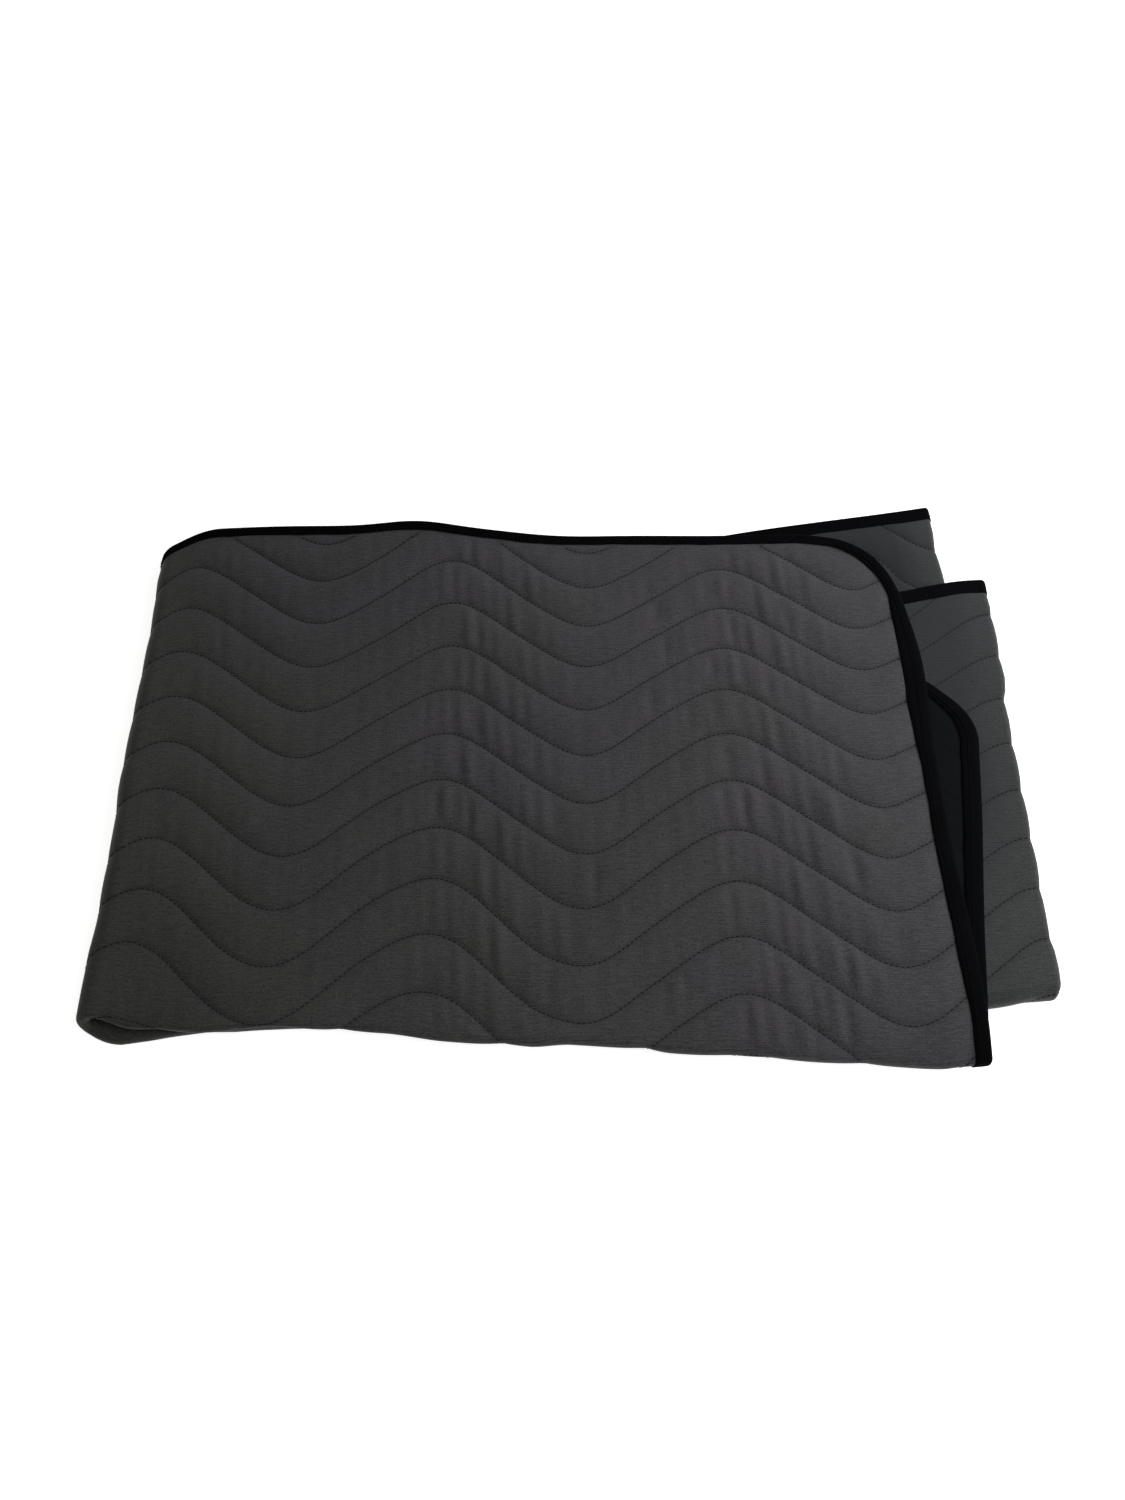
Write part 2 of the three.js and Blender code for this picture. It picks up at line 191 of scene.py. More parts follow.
def bend(distance, height, axis, radius):
    """One fold. Before it a place keeps its height; on the half circle it turns by its distance over
    the radius; past it the height is counted down from twice the axis. Gives distance and height."""
    half_arc = np.pi * radius / 2
    angle = np.clip((half_arc - distance) / radius, 0.0, np.pi)
    reach = axis - height
    beyond = np.maximum(np.abs(distance) - half_arc, 0.0)
    return beyond - reach * np.sin(angle), axis - reach * np.cos(angle)


def after_right_fold(s, h):
    """Distance from the left fold and height, once the right end is turned in over the black side."""
    distance, height = bend(BASE_LENGTH - s, h, PAIR_AXIS, PAIR_RADIUS)
    return RIGHT_LINE - distance, height


def front_fold(x):
    """Axis and radius of the front fold: tight on top, and wider where the turned end lies inside."""
    rise = smooth_step(x / BASE_RISE_LENGTH)
    return PAIR_AXIS + (BASE_AXIS - PAIR_AXIS) * rise, PAIR_RADIUS + (BASE_RADIUS - PAIR_RADIUS) * rise


def flap_share(s):
    """0 on the base and 1 on the turned-in end, with an S round the right fold between them."""
    return smooth_step((s - BASE_LENGTH + RIGHT_HALF_ARC) / (2 * RIGHT_HALF_ARC))


def layer_shares(s, y, half_arc):
    """How much of each of the six layers a place belongs to; over a fold it passes smoothly."""
    on_base = smooth_step((s + LEFT_BLEND) / (2 * LEFT_BLEND))
    on_flap = flap_share(s)
    on_shallow = smooth_step((half_arc - y) / (2 * half_arc))
    parts = (1 - on_base, on_base * (1 - on_flap), on_base * on_flap)
    shares = [part * half for part in parts for half in (1 - on_shallow, on_shallow)]
    return np.stack(np.broadcast_arrays(*shares), -1), on_shallow


def side_lines(shares, across):
    """Front and back ends, from above, of the line across a layer at that share of its width."""
    corners = np.einsum("...l,lcd->...cd", shares, CORNERS)
    share = across[..., None]
    front = corners[..., 0, :] * (1 - share) + corners[..., 1, :] * share
    back = corners[..., 2, :] * (1 - share) + corners[..., 3, :] * share
    return front, back


def nudged(plan, shares, along):
    """The plan with every small shift added: its share of the layers, times its zone, times an S. The
    back waves of the top layer are bells."""
    x, y = plan[..., 0], plan[..., 1]
    zones = {
        "front": (1 - smooth_step(along / FRONT_ZONE), x),
        "back": (smooth_step((along - 1 + BACK_ZONE) / BACK_ZONE), x),
        "left": (step_between(x, *LEFT_ZONE), y),
        "right": (step_between(x, *RIGHT_ZONE), y),
    }
    moved = plan.copy()
    for layers, zone, axis, amount, start, full in NUDGES:
        reach, ruler = zones[zone]
        moved[..., axis] += amount * shares[..., layers].sum(-1) * reach * step_between(ruler, start, full)
    on_top = shares[..., TOP_DEEP].sum(-1)
    for middle, reach, amount in BACK_WAVES:
        moved[..., 1] += amount * bell(x, middle, reach) * on_top * zones["back"][0]
    return moved


def settled_height(x, y, z):
    """Height after the pile's swells, less the droop of the top pair in front of the base."""
    share = np.ones_like(x)
    for centre_x, centre_y, reach_x, reach_y, amount in SWELLS:
        away = ((x - centre_x) / reach_x) ** 2 + ((y - centre_y) / reach_y) ** 2
        share = share + amount * np.exp(-away / 2)
    (left_x, left_y), (right_x, right_y) = LAYER_CORNERS["base_deep"][:2]
    base_front = left_y + (right_y - left_y) * (x - left_x) / (right_x - left_x)
    droop = DROOP_DEPTH * smooth_step((base_front - DROOP_START - y) / DROOP_REACH)
    return z * share - droop * smooth_step(z / LEFT_AXIS)


def place_on_folds(s, y, h):
    """The place in the pile of a place on the flat cloth: right fold, front fold, left fold, then the
    layer's own four corners seen from above, then shifts and swells. Whole arrays go in and out."""
    s, y, h = np.broadcast_arrays(*(np.asarray(part, float) for part in (s, y, h)))
    x, flap_height = after_right_fold(s, h)
    axis, radius = front_fold(x)
    half_arc = np.pi * radius / 2
    depth, pair_height = bend(y, flap_height, axis, radius)
    width, height = bend(x, pair_height, LEFT_AXIS, LEFT_RADIUS)
    shares, on_shallow = layer_shares(s, y, half_arc)
    front, back = side_lines(shares, width / FOLDED_WIDTH)
    full_depth = DEEP_HALF + (SHALLOW_HALF - DEEP_HALF) * on_shallow - half_arc
    along = depth / full_depth
    plan = front + (back - front) * along[..., None]
    plan = nudged(plan, shares, along)
    height = settled_height(plan[..., 0], plan[..., 1], height)
    return np.concatenate([plan, height[..., None]], -1)


corner = place_on_folds(-TOP_LENGTH, DEEP_HALF - CORNER_RADIUS, 0)
print("top right edge lies at", corner.round(1), "mm")

# %% [markdown]
# ## Measuring along the folded cloth
#
# The quilting is even on the real cloth, so it needs true distances. Here q is the distance from the
# deep half's bound back edge: over the deep half, round the front fold and on over the shallow half.
# Each layer is laid a little askew, so the two halves' lengths change from left to right.


# %% Lengths across the cloth
def cloth_depths(s):
    """Length of the deep half and of the shallow half at each station, and half the fold between."""
    s = np.asarray(s, float)
    x = after_right_fold(s, 0 * s)[0]
    half_arc = np.pi * front_fold(x)[1] / 2
    width = bend(x, 0 * s, LEFT_AXIS, LEFT_RADIUS)[0]
    lengths = []
    for row in (DEEP_HALF, -SHALLOW_HALF):
        front, back = side_lines(layer_shares(s, row, half_arc)[0], width / FOLDED_WIDTH)
        lengths.append(np.linalg.norm(back - front, axis=-1))
    return lengths[0], lengths[1], half_arc


def cloth_row(s, q):
    """The flat row y of a place q from the back edge: each half is stretched to its own length."""
    deep, shallow, half_arc = cloth_depths(s)
    on_deep = half_arc + (DEEP_HALF - half_arc) * (1 - q / deep)
    on_fold = half_arc - (q - deep)
    past_fold = q - deep - 2 * half_arc
    on_shallow = -half_arc - (SHALLOW_HALF - half_arc) * past_fold / shallow
    return np.where(q < deep, on_deep, np.where(past_fold < 0, on_fold, on_shallow))


depth_table = cloth_depths(np.array([-TOP_LENGTH, 0, BASE_LENGTH]))
print("deep and shallow halves, right end to right fold:", np.round(depth_table[:2], 0).tolist())

# %% [markdown]
# ## Quilting lines
#
# The cover is sewn through in wavy lines, one 48 mm below the other, each wave 262 mm long and 70 mm
# from trough to crest. A cosine with a little of its third overtone gives the slightly pointed waves.
# Counting lines with a number that is whole on a line and half between two lines gives everything the
# pattern needs: the depth of the groove, the rows of the mesh and the place of every stitch.

# %% Quilting lines
FULL_TURN = 2 * np.pi
LINE_SPACING = 48
FIRST_LINE = 29
WAVE_PERIOD = 262.3
WAVE_HEIGHT = 33.5
WAVE_POINT, WAVE_OVERTONE = 1.6, 3
WAVE_CREST = -37
LEFT_DIP = 7
DIP_START, DIP_FULL = -150, -30
DIP_FADE, DIP_END = 40, 300
UNDER_GAIN = 0.2175
UNDER_START, UNDER_END = 40, 680

# Where lines stray, as the cloth lies a little twisted: on top, and in the last row on the turned-in end.
# Middle s, reach along; q where the stray starts to change and where it has changed; millimetres to the
# front at both
STRAYS = (
    (-30, 30, 60, 200, -5, 1),
    (-35, 40, 360, 420, 0, -6),
    (-35, 40, 440, 490, 0, 14),
    (-125, 42, 77, 400, 4, 10.5),
    (-170, 60, 20, 70, 5, 0),
    (-240, 52, 77, 400, 5, -12),
    (-378, 46, 330, 455, 2, 10),
    (-430, 60, 20, 70, 5, 0),
    (-500, 62, 60, 220, 2, -7.5),
    (-738, 14, 300, 420, 4, 0),
    (900, 75, 50, 95, -21, -4),
)
STRAY_ROUNDS = 8


def wave_turn(s):
    """The wave's angle: a full turn each period, 0 at a crest, and a little more turn underneath."""
    gain = UNDER_GAIN * step_between(s, UNDER_START, UNDER_END)
    return FULL_TURN * ((s - WAVE_CREST) / WAVE_PERIOD + gain)


def wave(s):
    """How far the lines run up towards the back edge: a cosine and a little of three times its angle,
    less a dip at the left fold."""
    turn = wave_turn(s)
    dip = step_between(s, DIP_START, DIP_FULL) - step_between(s, DIP_FADE, DIP_END)
    overtone = WAVE_POINT * np.cos(WAVE_OVERTONE * turn)
    return WAVE_HEIGHT * np.cos(turn) + overtone - LEFT_DIP * dip


def stray(s, q):
    """How far a line strays to the front: bells along the cloth, each changing with q by an S."""
    total = np.zeros(np.broadcast(s, q).shape)
    for middle, reach, start, changed, first, last in STRAYS:
        amount = first + (last - first) * step_between(q, start, changed)
        total += amount * bell(s, middle, reach)
    return total


def line_number(s, q):
    """Whole on a sewn line, and half way between two of them."""
    return (q - stray(s, q) + wave(s) - FIRST_LINE) / LINE_SPACING


def line_place(s, number):
    """The q of a line, or of a share between two lines, at each station. The stray depends on q itself,
    so it is looked up a few times, each time from a better q."""
    straight = FIRST_LINE + LINE_SPACING * number - wave(s)
    q = straight
    for _ in range(STRAY_ROUNDS):
        q = straight + stray(s, q)
    return q


def line_slope(s, number):
    """The change of q along a line over one millimetre of s, half of it to each side."""
    return line_place(s + 0.5, number) - line_place(s - 0.5, number)


SAMPLE_STATION = -430.0
sample_depth = cloth_depths(SAMPLE_STATION)[0]
print("lines on the deep half:", int(line_number(SAMPLE_STATION, sample_depth)) + 1)

# %% [markdown]
# ## A grid that follows the quilting
#
# Each piece of cloth is one grid of stations along it and rows across it. Straight rows would cut the
# wavy grooves into steps, so the rows follow the lines: eight to a channel on the deep half and six on
# the shallow one, closest where the cloth dips to the stitches. Where a wave would run off the cloth,
# its rows are squeezed into a narrow strip under the tape, or beside the front fold, where close rows
# make a good round edge. Stations are close where the cloth shows and on the folds, and wide in the
# middle of the pile.

# %% Stations and rows
EDGE_INSET = 1.5
CLOTH_START = -TOP_LENGTH + EDGE_INSET
CLOTH_END = BASE_LENGTH + FLAP_LENGTH - EDGE_INSET
INNER_RADIUS = CORNER_RADIUS - EDGE_INSET
CORNER_TURNS = 20
FLAP_CORNER_TURNS = 12
DEEP_SHARES = np.array([0, 0.04, 0.12, 0.27, 0.5, 0.73, 0.88, 0.96])
SHALLOW_SHARES = np.array([0, 0.06, 0.22, 0.5, 0.78, 0.94])
DEEP_LINES = (-1.5, 11.5)
SHALLOW_LINES = (9.0, 21.0)
FOLD_STEPS = 8
TAPE_STRIP = 11
FOLD_STRIP = 9

# From, to, number of steps; each number is a multiple of four, so that coarser grids share its ends
STATION_ZONES = (
    (CLOTH_START + INNER_RADIUS, -60, 220),
    (-60, 40, 40),
    (40, 680, 28),
    (680, 812, 32),
    (812, 837, 20),
    (837, 1000, 32),
    (1000, CLOTH_END - INNER_RADIUS, 16),
)


def even_steps(zones):
    """Even steps through zones given as start, end and number of steps, one after the other."""
    return np.concatenate([np.linspace(*zone, endpoint=False) for zone in zones])


def cloth_stations():
    """Even steps in each zone, and steps of even angle round the rounded corners at both ends."""
    first_turn = np.linspace(0, np.pi / 2, CORNER_TURNS, endpoint=False)
    last_turn = np.linspace(np.pi / 2, 0, FLAP_CORNER_TURNS + 1)
    first = CLOTH_START + INNER_RADIUS * (1 - np.cos(first_turn))
    last = CLOTH_END - INNER_RADIUS * (1 - np.cos(last_turn))
    return np.concatenate([first, even_steps(STATION_ZONES), last])


def edge_row(s, half):
    """How far the cloth reaches from the front fold: less in its rounded corners, by a quarter circle."""
    from_end = np.minimum(s - CLOTH_START, CLOTH_END - s)
    in_corner = np.maximum(0, INNER_RADIUS - from_end)
    rounded = np.sqrt(np.maximum(0, INNER_RADIUS ** 2 - in_corner ** 2))
    return half - EDGE_INSET - INNER_RADIUS + rounded


def squeeze(q, low, high, low_strip, high_strip):
    """Rows beyond low or high are drawn evenly into a strip inside it; the others stay."""
    first, last = q[:, :1], q[:, -1:]
    near_low = low + low_strip * (q - first) / (low + low_strip - first)
    near_high = high - high_strip * (last - q) / (last - high + high_strip)
    return np.where(q < low + low_strip, near_low, np.where(q > high - high_strip, near_high, q))


def lattice(first, last, shares):
    """Line numbers of the rows between two lines: the same shares in every channel."""
    channels = np.arange(np.floor(first), np.ceil(last) + 1)
    numbers = (channels[:, None] + shares).ravel()
    return numbers[(numbers >= first) & (numbers <= last)]


def cloth_grid():
    """Stations as a column, and q of every row at every station, from the back edge to the far edge."""
    s = cloth_stations()[:, None]
    deep, shallow, half_arc = cloth_depths(s)
    fold_end = deep + 2 * half_arc
    deep_share = (edge_row(s, DEEP_HALF) - half_arc) / (DEEP_HALF - half_arc)
    shallow_share = (edge_row(s, SHALLOW_HALF) - half_arc) / (SHALLOW_HALF - half_arc)
    low = deep * (1 - deep_share)
    high = fold_end + shallow * shallow_share
    deep_lines = line_place(s, lattice(*DEEP_LINES, DEEP_SHARES))
    deep_rows = squeeze(deep_lines, low, deep, TAPE_STRIP, FOLD_STRIP)
    fold_rows = deep + 2 * half_arc * np.arange(1, FOLD_STEPS) / FOLD_STEPS
    shallow_lines = line_place(s, lattice(*SHALLOW_LINES, SHALLOW_SHARES))
    shallow_rows = squeeze(shallow_lines, fold_end, high, FOLD_STRIP, TAPE_STRIP)
    return s, np.concatenate([deep_rows, fold_rows, shallow_rows], 1)


STATIONS, ROWS_Q = cloth_grid()
ROWS_Y = cloth_row(STATIONS, ROWS_Q)
print("cloth grid:", ROWS_Q.shape, "smallest step across:", round(float(np.diff(ROWS_Q).min()), 3), "mm")

# %% [markdown]
# ## Turning arrays into pieces
#
# A sheet of cloth has a side that shows and a side that is hidden inside the pile. The hidden one uses
# every second station and row, and a zigzag of triangles along the rim closes the two into one skin.
# `foreach_set` hands whole arrays to Blender, which is far quicker than one vertex at a time.


# %% Mesh helpers
UV_NAME = "cloth"


def make_piece(name, points, face_sets, uv_sets):
    """A mesh object at the origin from points in millimetres, arrays of faces, and for each corner of
    each face its place on the flat cloth, in metres, as the UV map."""
    loops = np.concatenate([faces.ravel() for faces in face_sets])
    sizes = np.concatenate([np.full(len(faces), faces.shape[1]) for faces in face_sets])
    places = np.concatenate([uv.reshape(-1, 2) for uv in uv_sets])
    mesh = bpy.data.meshes.new(name)
    mesh.vertices.add(len(points))
    mesh.vertices.foreach_set("co", (points * MM).astype(np.float32).ravel())
    mesh.loops.add(len(loops))
    mesh.loops.foreach_set("vertex_index", loops.astype(np.int32))
    mesh.polygons.add(len(sizes))
    mesh.polygons.foreach_set("loop_start", (np.cumsum(sizes) - sizes).astype(np.int32))
    mesh.update(calc_edges=True)
    layer = mesh.uv_layers.new(name=UV_NAME)
    layer.uv.foreach_set("vector", (places * MM).astype(np.float32).ravel())
    mesh.shade_smooth()
    piece = bpy.data.objects.new(name, mesh)
    bpy.context.scene.collection.objects.link(piece)
    print(f"{name}: {len(points)} points, {int((sizes - 2).sum())} triangles")
    return piece


def grid_quads(numbers):
    """Quads between the neighbours of a grid of point numbers."""
    return np.stack(
        [numbers[:-1, :-1], numbers[1:, :-1], numbers[1:, 1:], numbers[:-1, 1:]], -1).reshape(-1, 4)


def rim(numbers):
    """Point numbers round a grid's edge, from its first corner along its first side."""
    return np.concatenate([numbers[:-1, 0], numbers[-1, :-1], numbers[:0:-1, -1], numbers[0, :0:-1]])


def sheet_piece(name, shown, hidden, uv):
    """A closed sheet from two grids of points, one over the other; hidden has every second one. The
    triangles of the rim join two short edges of one side to a long edge of the other."""
    columns, rows = shown.shape[:2]
    fine = np.arange(columns * rows).reshape(columns, rows)
    coarse = fine.size + np.arange(hidden.shape[0] * hidden.shape[1]).reshape(hidden.shape[:2])
    outer, inner = rim(fine), rim(coarse)
    start, middle, end = outer[0::2], outer[1::2], np.roll(outer[0::2], -1)
    inner_end = np.roll(inner, -1)
    zigzag = np.concatenate([
        np.stack([middle, start, inner], -1),
        np.stack([end, middle, inner_end], -1),
        np.stack([middle, inner, inner_end], -1),
    ])
    points = np.concatenate([shown.reshape(-1, 3), hidden.reshape(-1, 3)])
    places = np.concatenate([uv.reshape(-1, 2), uv[::2, ::2].reshape(-1, 2)])
    face_sets = [grid_quads(fine), grid_quads(coarse)[:, ::-1], zigzag]
    return make_piece(name, points, face_sets, [places[faces] for faces in face_sets])


# %% [markdown]
# ## How the quilted face swells and puckers
#
# Wadding lifts the cloth between the lines, and the stitches pull it down to a sharp valley. Near the
# tape the layers are pressed thin, and round the folds the channels bulge, which gives the pile its
# scalloped edge. The sewing also leaves the cloth a little too long for its channels, so it puckers in
# short upright creases, most of them just right of each crest. The main creases are listed in a table,
# each with its own size; a seeded ripple in every channel adds the faint ones between them.

# %% Relief of the face
FACE_THICKNESS = 3.6
PIECE_GAP = 0.3
EDGE_RAISE = 1.2
EDGE_PRESS = 0.4
PRESS_FULL = 12
PRESS_FADE = 24
GROOVE_DEPTH = 1.9
GROOVE_SHARPNESS = 2.3
TOP_PUFF = 0.5
TOP_PUFF_START, LEFT_PUFF_START = -4, 8
PUFF_FADE = 14
LEFT_PUFF, LEFT_PUFF_REACH = 0.2, 24
RIGHT_PUFF, RIGHT_PUFF_REACH = 0.7, 13
LEFT_CALM, LEFT_CALM_REACH = 0.65, 34
RIGHT_CALM, RIGHT_CALM_REACH = 0.4, 16


def groove_share(s, q):
    """1 on a sewn line and 0 between two: one less the distance to the line, to a power."""
    number = line_number(s, q)
    to_line = 2 * np.abs(number - np.round(number))
    return (1 - to_line) ** GROOVE_SHARPNESS


def inside_outline(s, y):
    """Distance in from the bound outline, a rectangle with rounded corners."""
    half_width, half_length = (size / 2 for size in FLAT_SIZE)
    across = np.abs(s + TOP_LENGTH - half_length) - half_length + CORNER_RADIUS
    along = np.abs(y + SHALLOW_HALF - half_width) - half_width + CORNER_RADIUS
    outside = np.hypot(np.maximum(across, 0), np.maximum(along, 0))
    return CORNER_RADIUS - outside - np.minimum(np.maximum(across, along), 0)


def press_share(s, y):
    """1 under the tape, fading to 0 a finger's width inside it."""
    return 1 - smooth_step((inside_outline(s, y) - PRESS_FULL) / PRESS_FADE)


def puff(s, y):
    """How far the channels stand proud: a little on top, more on the outside of the two side folds."""
    on_top = smooth_step((TOP_PUFF_START - s) / PUFF_FADE) * smooth_step(y / PUFF_FADE)
    on_shallow = smooth_step(-y / PUFF_FADE)
    left_fold = bell(s, 0, LEFT_PUFF_REACH) * smooth_step((LEFT_PUFF_START - s) / PUFF_FADE)
    right_fold = bell(s, BASE_LENGTH, RIGHT_PUFF_REACH) * np.maximum(on_shallow, flap_share(s))
    return TOP_PUFF * on_top + LEFT_PUFF * left_fold + RIGHT_PUFF * right_fold


def fold_calm(s):
    """How much of the grooves is left where the cloth is stretched round a side fold."""
    left = LEFT_CALM * bell(s, 0, LEFT_CALM_REACH)
    right = RIGHT_CALM * bell(s, BASE_LENGTH, RIGHT_CALM_REACH)
    return 1 - left - right


# %% Creases on the top layer
# Middle s and q, half length, lean to the right as it comes forward, half width, height; troughs are
# negative and ridges positive
CREASES = (
    (-498, 95, 14, 0.07, 6, -2.4),
    (-504, 137, 16, 0.05, 5, -2.0),
    (-549, 161, 14, 0.05, 5, -1.8),
    (-571, 115, 16, 0.07, 4, -1.5),
    (-548, 72, 14, 0, 5, -1.5),
    (-569, 70, 12, 0.05, 4, -1.3),
    (-588, 86, 13, 0.1, 5, -1.5),
    (-628, 111, 13, 0.12, 5, -1.8),
    (-641, 120, 16, 0.1, 5, -2.2),
    (-622, 198, 16, 0.1, 5, -2.4),
    (-524, 212, 16, -0.05, 5, -1.5),
    (-546, 205, 12, 0.05, 5, -1.3),
    (-569, 211, 13, 0.07, 5, -1.5),
    (-593, 220, 14, 0.12, 5, -1.8),
    (-598, 182, 18, 0.15, 5, -1.5),
    (-490, 65, 12, 0, 5, -1.3),
    (-489, 195, 12, 0, 4, -1.1),
    (-512, 265, 12, 0, 5, -1.3),
    (-554, 256, 12, 0, 4, -1.3),
    (-579, 265, 12, 0.05, 5, -1.1),
    (-656, 265, 14, 0.05, 6, -1.5),
    (-398, 313, 18, 0.1, 6, -1.8),
    (-434, 372, 18, 0, 4, -1.8),
    (-455, 307, 14, -0.05, 5, -1.1),
    (-549, 294, 12, 0.03, 4, -1.5),
    (-569, 300, 13, 0.05, 5, -1.3),
    (-587, 309, 12, 0.05, 5, -1.1),
    (-643, 308, 20, 0.07, 6, 2.4),
    (-684, 318, 14, 0.03, 5, 1.8),
    (-660, 362, 22, 0.12, 7, -2.4),
    (-671, 422, 15, 0, 6, 1.5),
    (-691, 428, 14, 0, 6, -1.3),
    (-652, 446, 18, 0.12, 4, 2.4),
    (-635, 436, 10, 0.05, 4, 1.5),
    (-670, 462, 9, 0, 4, 1.3),
    (-640, 487, 18, 0.05, 6, -2.2),
    (-622, 472, 14, 0.05, 5, -1.8),
    (-591, 502, 12, 0, 5, -1.3),
    (-536, 485, 12, 0, 5, -1.1),
    (-556, 492, 13, 0, 4, -1.3),
    (-508, 464, 16, -0.07, 5, -1.8),
    (-491, 472, 18, 0, 4, -1.3),
    (-471, 438, 11, 0, 5, -1.5),
    (-393, 465, 16, 0.05, 5, -2.0),
    (-443, 408, 10, 0, 4, -1.1),
    (-404, 428, 14, 0, 5, 1.3),
    (-379, 256, 12, 0, 5, -1.5),
    (-336, 33, 10, 0.05, 5, -1.5),
    (-313, 33, 8, 0, 4, -1.1),
    (-266, 77, 12, 0, 4, -1.1),
    (-356, 93, 8, 0.1, 5, -1.1),
    (-338, 135, 10, 0.1, 5, -1.5),
    (-318, 167, 14, 0.12, 5, -2.0),
    (-283, 158, 8, 0.05, 5, -1.1),
    (-320, 217, 15, 0.15, 5, -2.4),
    (-354, 220, 9, 0.1, 5, -1.1),
    (-278, 207, 12, 0, 4, -1.3),
    (-278, 252, 13, 0, 4, -1.3),
    (-335, 276, 12, 0.12, 5, -1.8),
    (-292, 304, 13, -0.05, 5, -1.8),
    (-311, 303, 8, 0, 4, -1.3),
    (-323, 315, 9, 0.05, 4, -1.3),
    (-326, 418, 13, 0.05, 4, -1.3),
    (-306, 462, 12, 0.05, 5, 1.1),
    (-239, 425, 16, 0, 6, 1.1),
    (-124, 312, 16, 0, 7, 0.7),
)
RIPPLE_SEED = 7
RIPPLE_HEIGHT = 0.4
RIPPLE_LENGTHS = np.array([13.0, 17.5, 23.0, 31.0])
RIPPLE_TURN = 0.9
RIPPLE_LEAN = 0.06
RIPPLE_LEAST = 0.25
LEFT_RIPPLE, LEFT_RIPPLE_START, LEFT_RIPPLE_REACH = 0.3, 90, 160
CHANNELS_BEFORE, MOST_CHANNELS = 2, 24
FREE_START, FREE_REACH, FREE_ROWS = 12, 30, 20


def crease_height(s, q):
    """Sum of soft creases: each a bell across its width times a bell along its length."""
    total = np.zeros(np.broadcast(s, q).shape)
    for middle_s, middle_q, half_length, lean, half_width, height in CREASES:
        along = (q - middle_q) / half_length
        across = (s - middle_s + lean * (q - middle_q)) / half_width
        total += height * np.exp(-along ** 4 - across ** 2)
    return total


def ripple_height(s, q):
    """Faint puckers: sines along the cloth with their own phases in each channel, strongest past a
    crest and weaker towards the left fold."""
    rng = np.random.default_rng(RIPPLE_SEED)
    phases = rng.uniform(0, FULL_TURN, (MOST_CHANNELS, len(RIPPLE_LENGTHS)))
    channel = np.floor(line_number(s, q)).astype(int) + CHANNELS_BEFORE
    phase = phases[np.clip(channel, 0, MOST_CHANNELS - 1)]
    turns = FULL_TURN * (s + RIPPLE_LEAN * q)[..., None] / RIPPLE_LENGTHS + phase
    crest_side = np.maximum(np.cos(wave_turn(s) + RIPPLE_TURN), 0)
    past_crest = RIPPLE_LEAST + (1 - RIPPLE_LEAST) * crest_side
    from_left = smooth_step((-s - LEFT_RIPPLE_START) / LEFT_RIPPLE_REACH)
    away_from_left = LEFT_RIPPLE + (1 - LEFT_RIPPLE) * from_left
    return RIPPLE_HEIGHT * past_crest * away_from_left * np.sin(turns).sum(-1)


def face_height(s, q, y):
    """Height of the grey face: grooves down to the stitches, puffed channels, creases where the cloth
    lies free on top, and a pressed rim."""
    groove = groove_share(s, q)
    free = smooth_step((-s - FREE_START) / FREE_REACH) * smooth_step(y / FREE_ROWS)
    creases = free * (1 - groove) * (crease_height(s, q) + ripple_height(s, q))
    relief = GROOVE_DEPTH * groove * fold_calm(s) - puff(s, y) * (1 - groove) - creases
    press = press_share(s, y)
    return relief * (1 - press) + EDGE_RAISE * press


print(len(CREASES), "creases placed by hand")

# %% [markdown]
# ## The quilted face
#
# This is the charcoal side of the sheet: nearly all that shows. Its shown side is the grid with the
# relief, and its hidden side is the smooth back of the wadding. The UV map holds s and q in metres, so
# ribs, stitches and mottling in the material keep their real size all over the folds.

# %% Face cloth
FLAT_UV = np.stack(np.broadcast_arrays(STATIONS, ROWS_Q), -1)


def every_second(grid):
    """Every second station and row of a grid, with its edges."""
    return grid[::2, ::2]


face_points = place_on_folds(STATIONS, ROWS_Y, face_height(STATIONS, ROWS_Q, ROWS_Y))
wadding_height = FACE_THICKNESS - EDGE_PRESS * press_share(STATIONS, ROWS_Y)
wadding_points = place_on_folds(STATIONS, ROWS_Y, wadding_height)
face = sheet_piece("quilted_face_cloth", face_points, every_second(wadding_points), FLAT_UV)

# %% [markdown]
# ## The black backing
#
# The back of the cover is thin plain cloth. It shows as the black wedge on the right, where the
# shallow half of the top layer lies black side up, and at the open edges. The quilting dents it too,
# more softly, because the wadding pushes the other way. It is made as the face is, on a grid half as
# fine and with the stations in the other order, so that the shown side is the one away from the face.

# %% Backing cloth
BACKING_THICKNESS = 1.0
BACKING_LOW = FACE_THICKNESS + PIECE_GAP
BACKING_HIGH = BACKING_LOW + BACKING_THICKNESS
BACKING_EDGE_PRESS = 0.5
BACKING_DENT = 0.75

backing_s = STATIONS[::-2]
backing_q = ROWS_Q[::-2, ::2]
backing_y = ROWS_Y[::-2, ::2]
backing_press = press_share(backing_s, backing_y)
backing_dent = BACKING_DENT * groove_share(backing_s, backing_q) * (1 - backing_press)
backing_top = place_on_folds(
    backing_s, backing_y, BACKING_HIGH - BACKING_EDGE_PRESS * backing_press - backing_dent)
backing_under = place_on_folds(backing_s, backing_y, BACKING_LOW - EDGE_PRESS * backing_press)
backing = sheet_piece(
    "black_backing_cloth", backing_top, every_second(backing_under), FLAT_UV[::-2, ::2])

# %% [markdown]
# ## The binding tape
#
# A tape 13 mm wide is folded over the raw edge and sewn down. It could be a curve with a bevel, but
# the tape has to follow the cloth round every fold, so its section is given flat, as distances in from
# the outline and heights, and the folding sums carry it. Hand-fed tape is never quite straight: its
# two inner edges wander by half a millimetre, and it gathers into tiny waves round the corners. On the
# top layer's right end it shows broader, by a short table.

# %% Binding tape
BINDING_WIDTH = 13

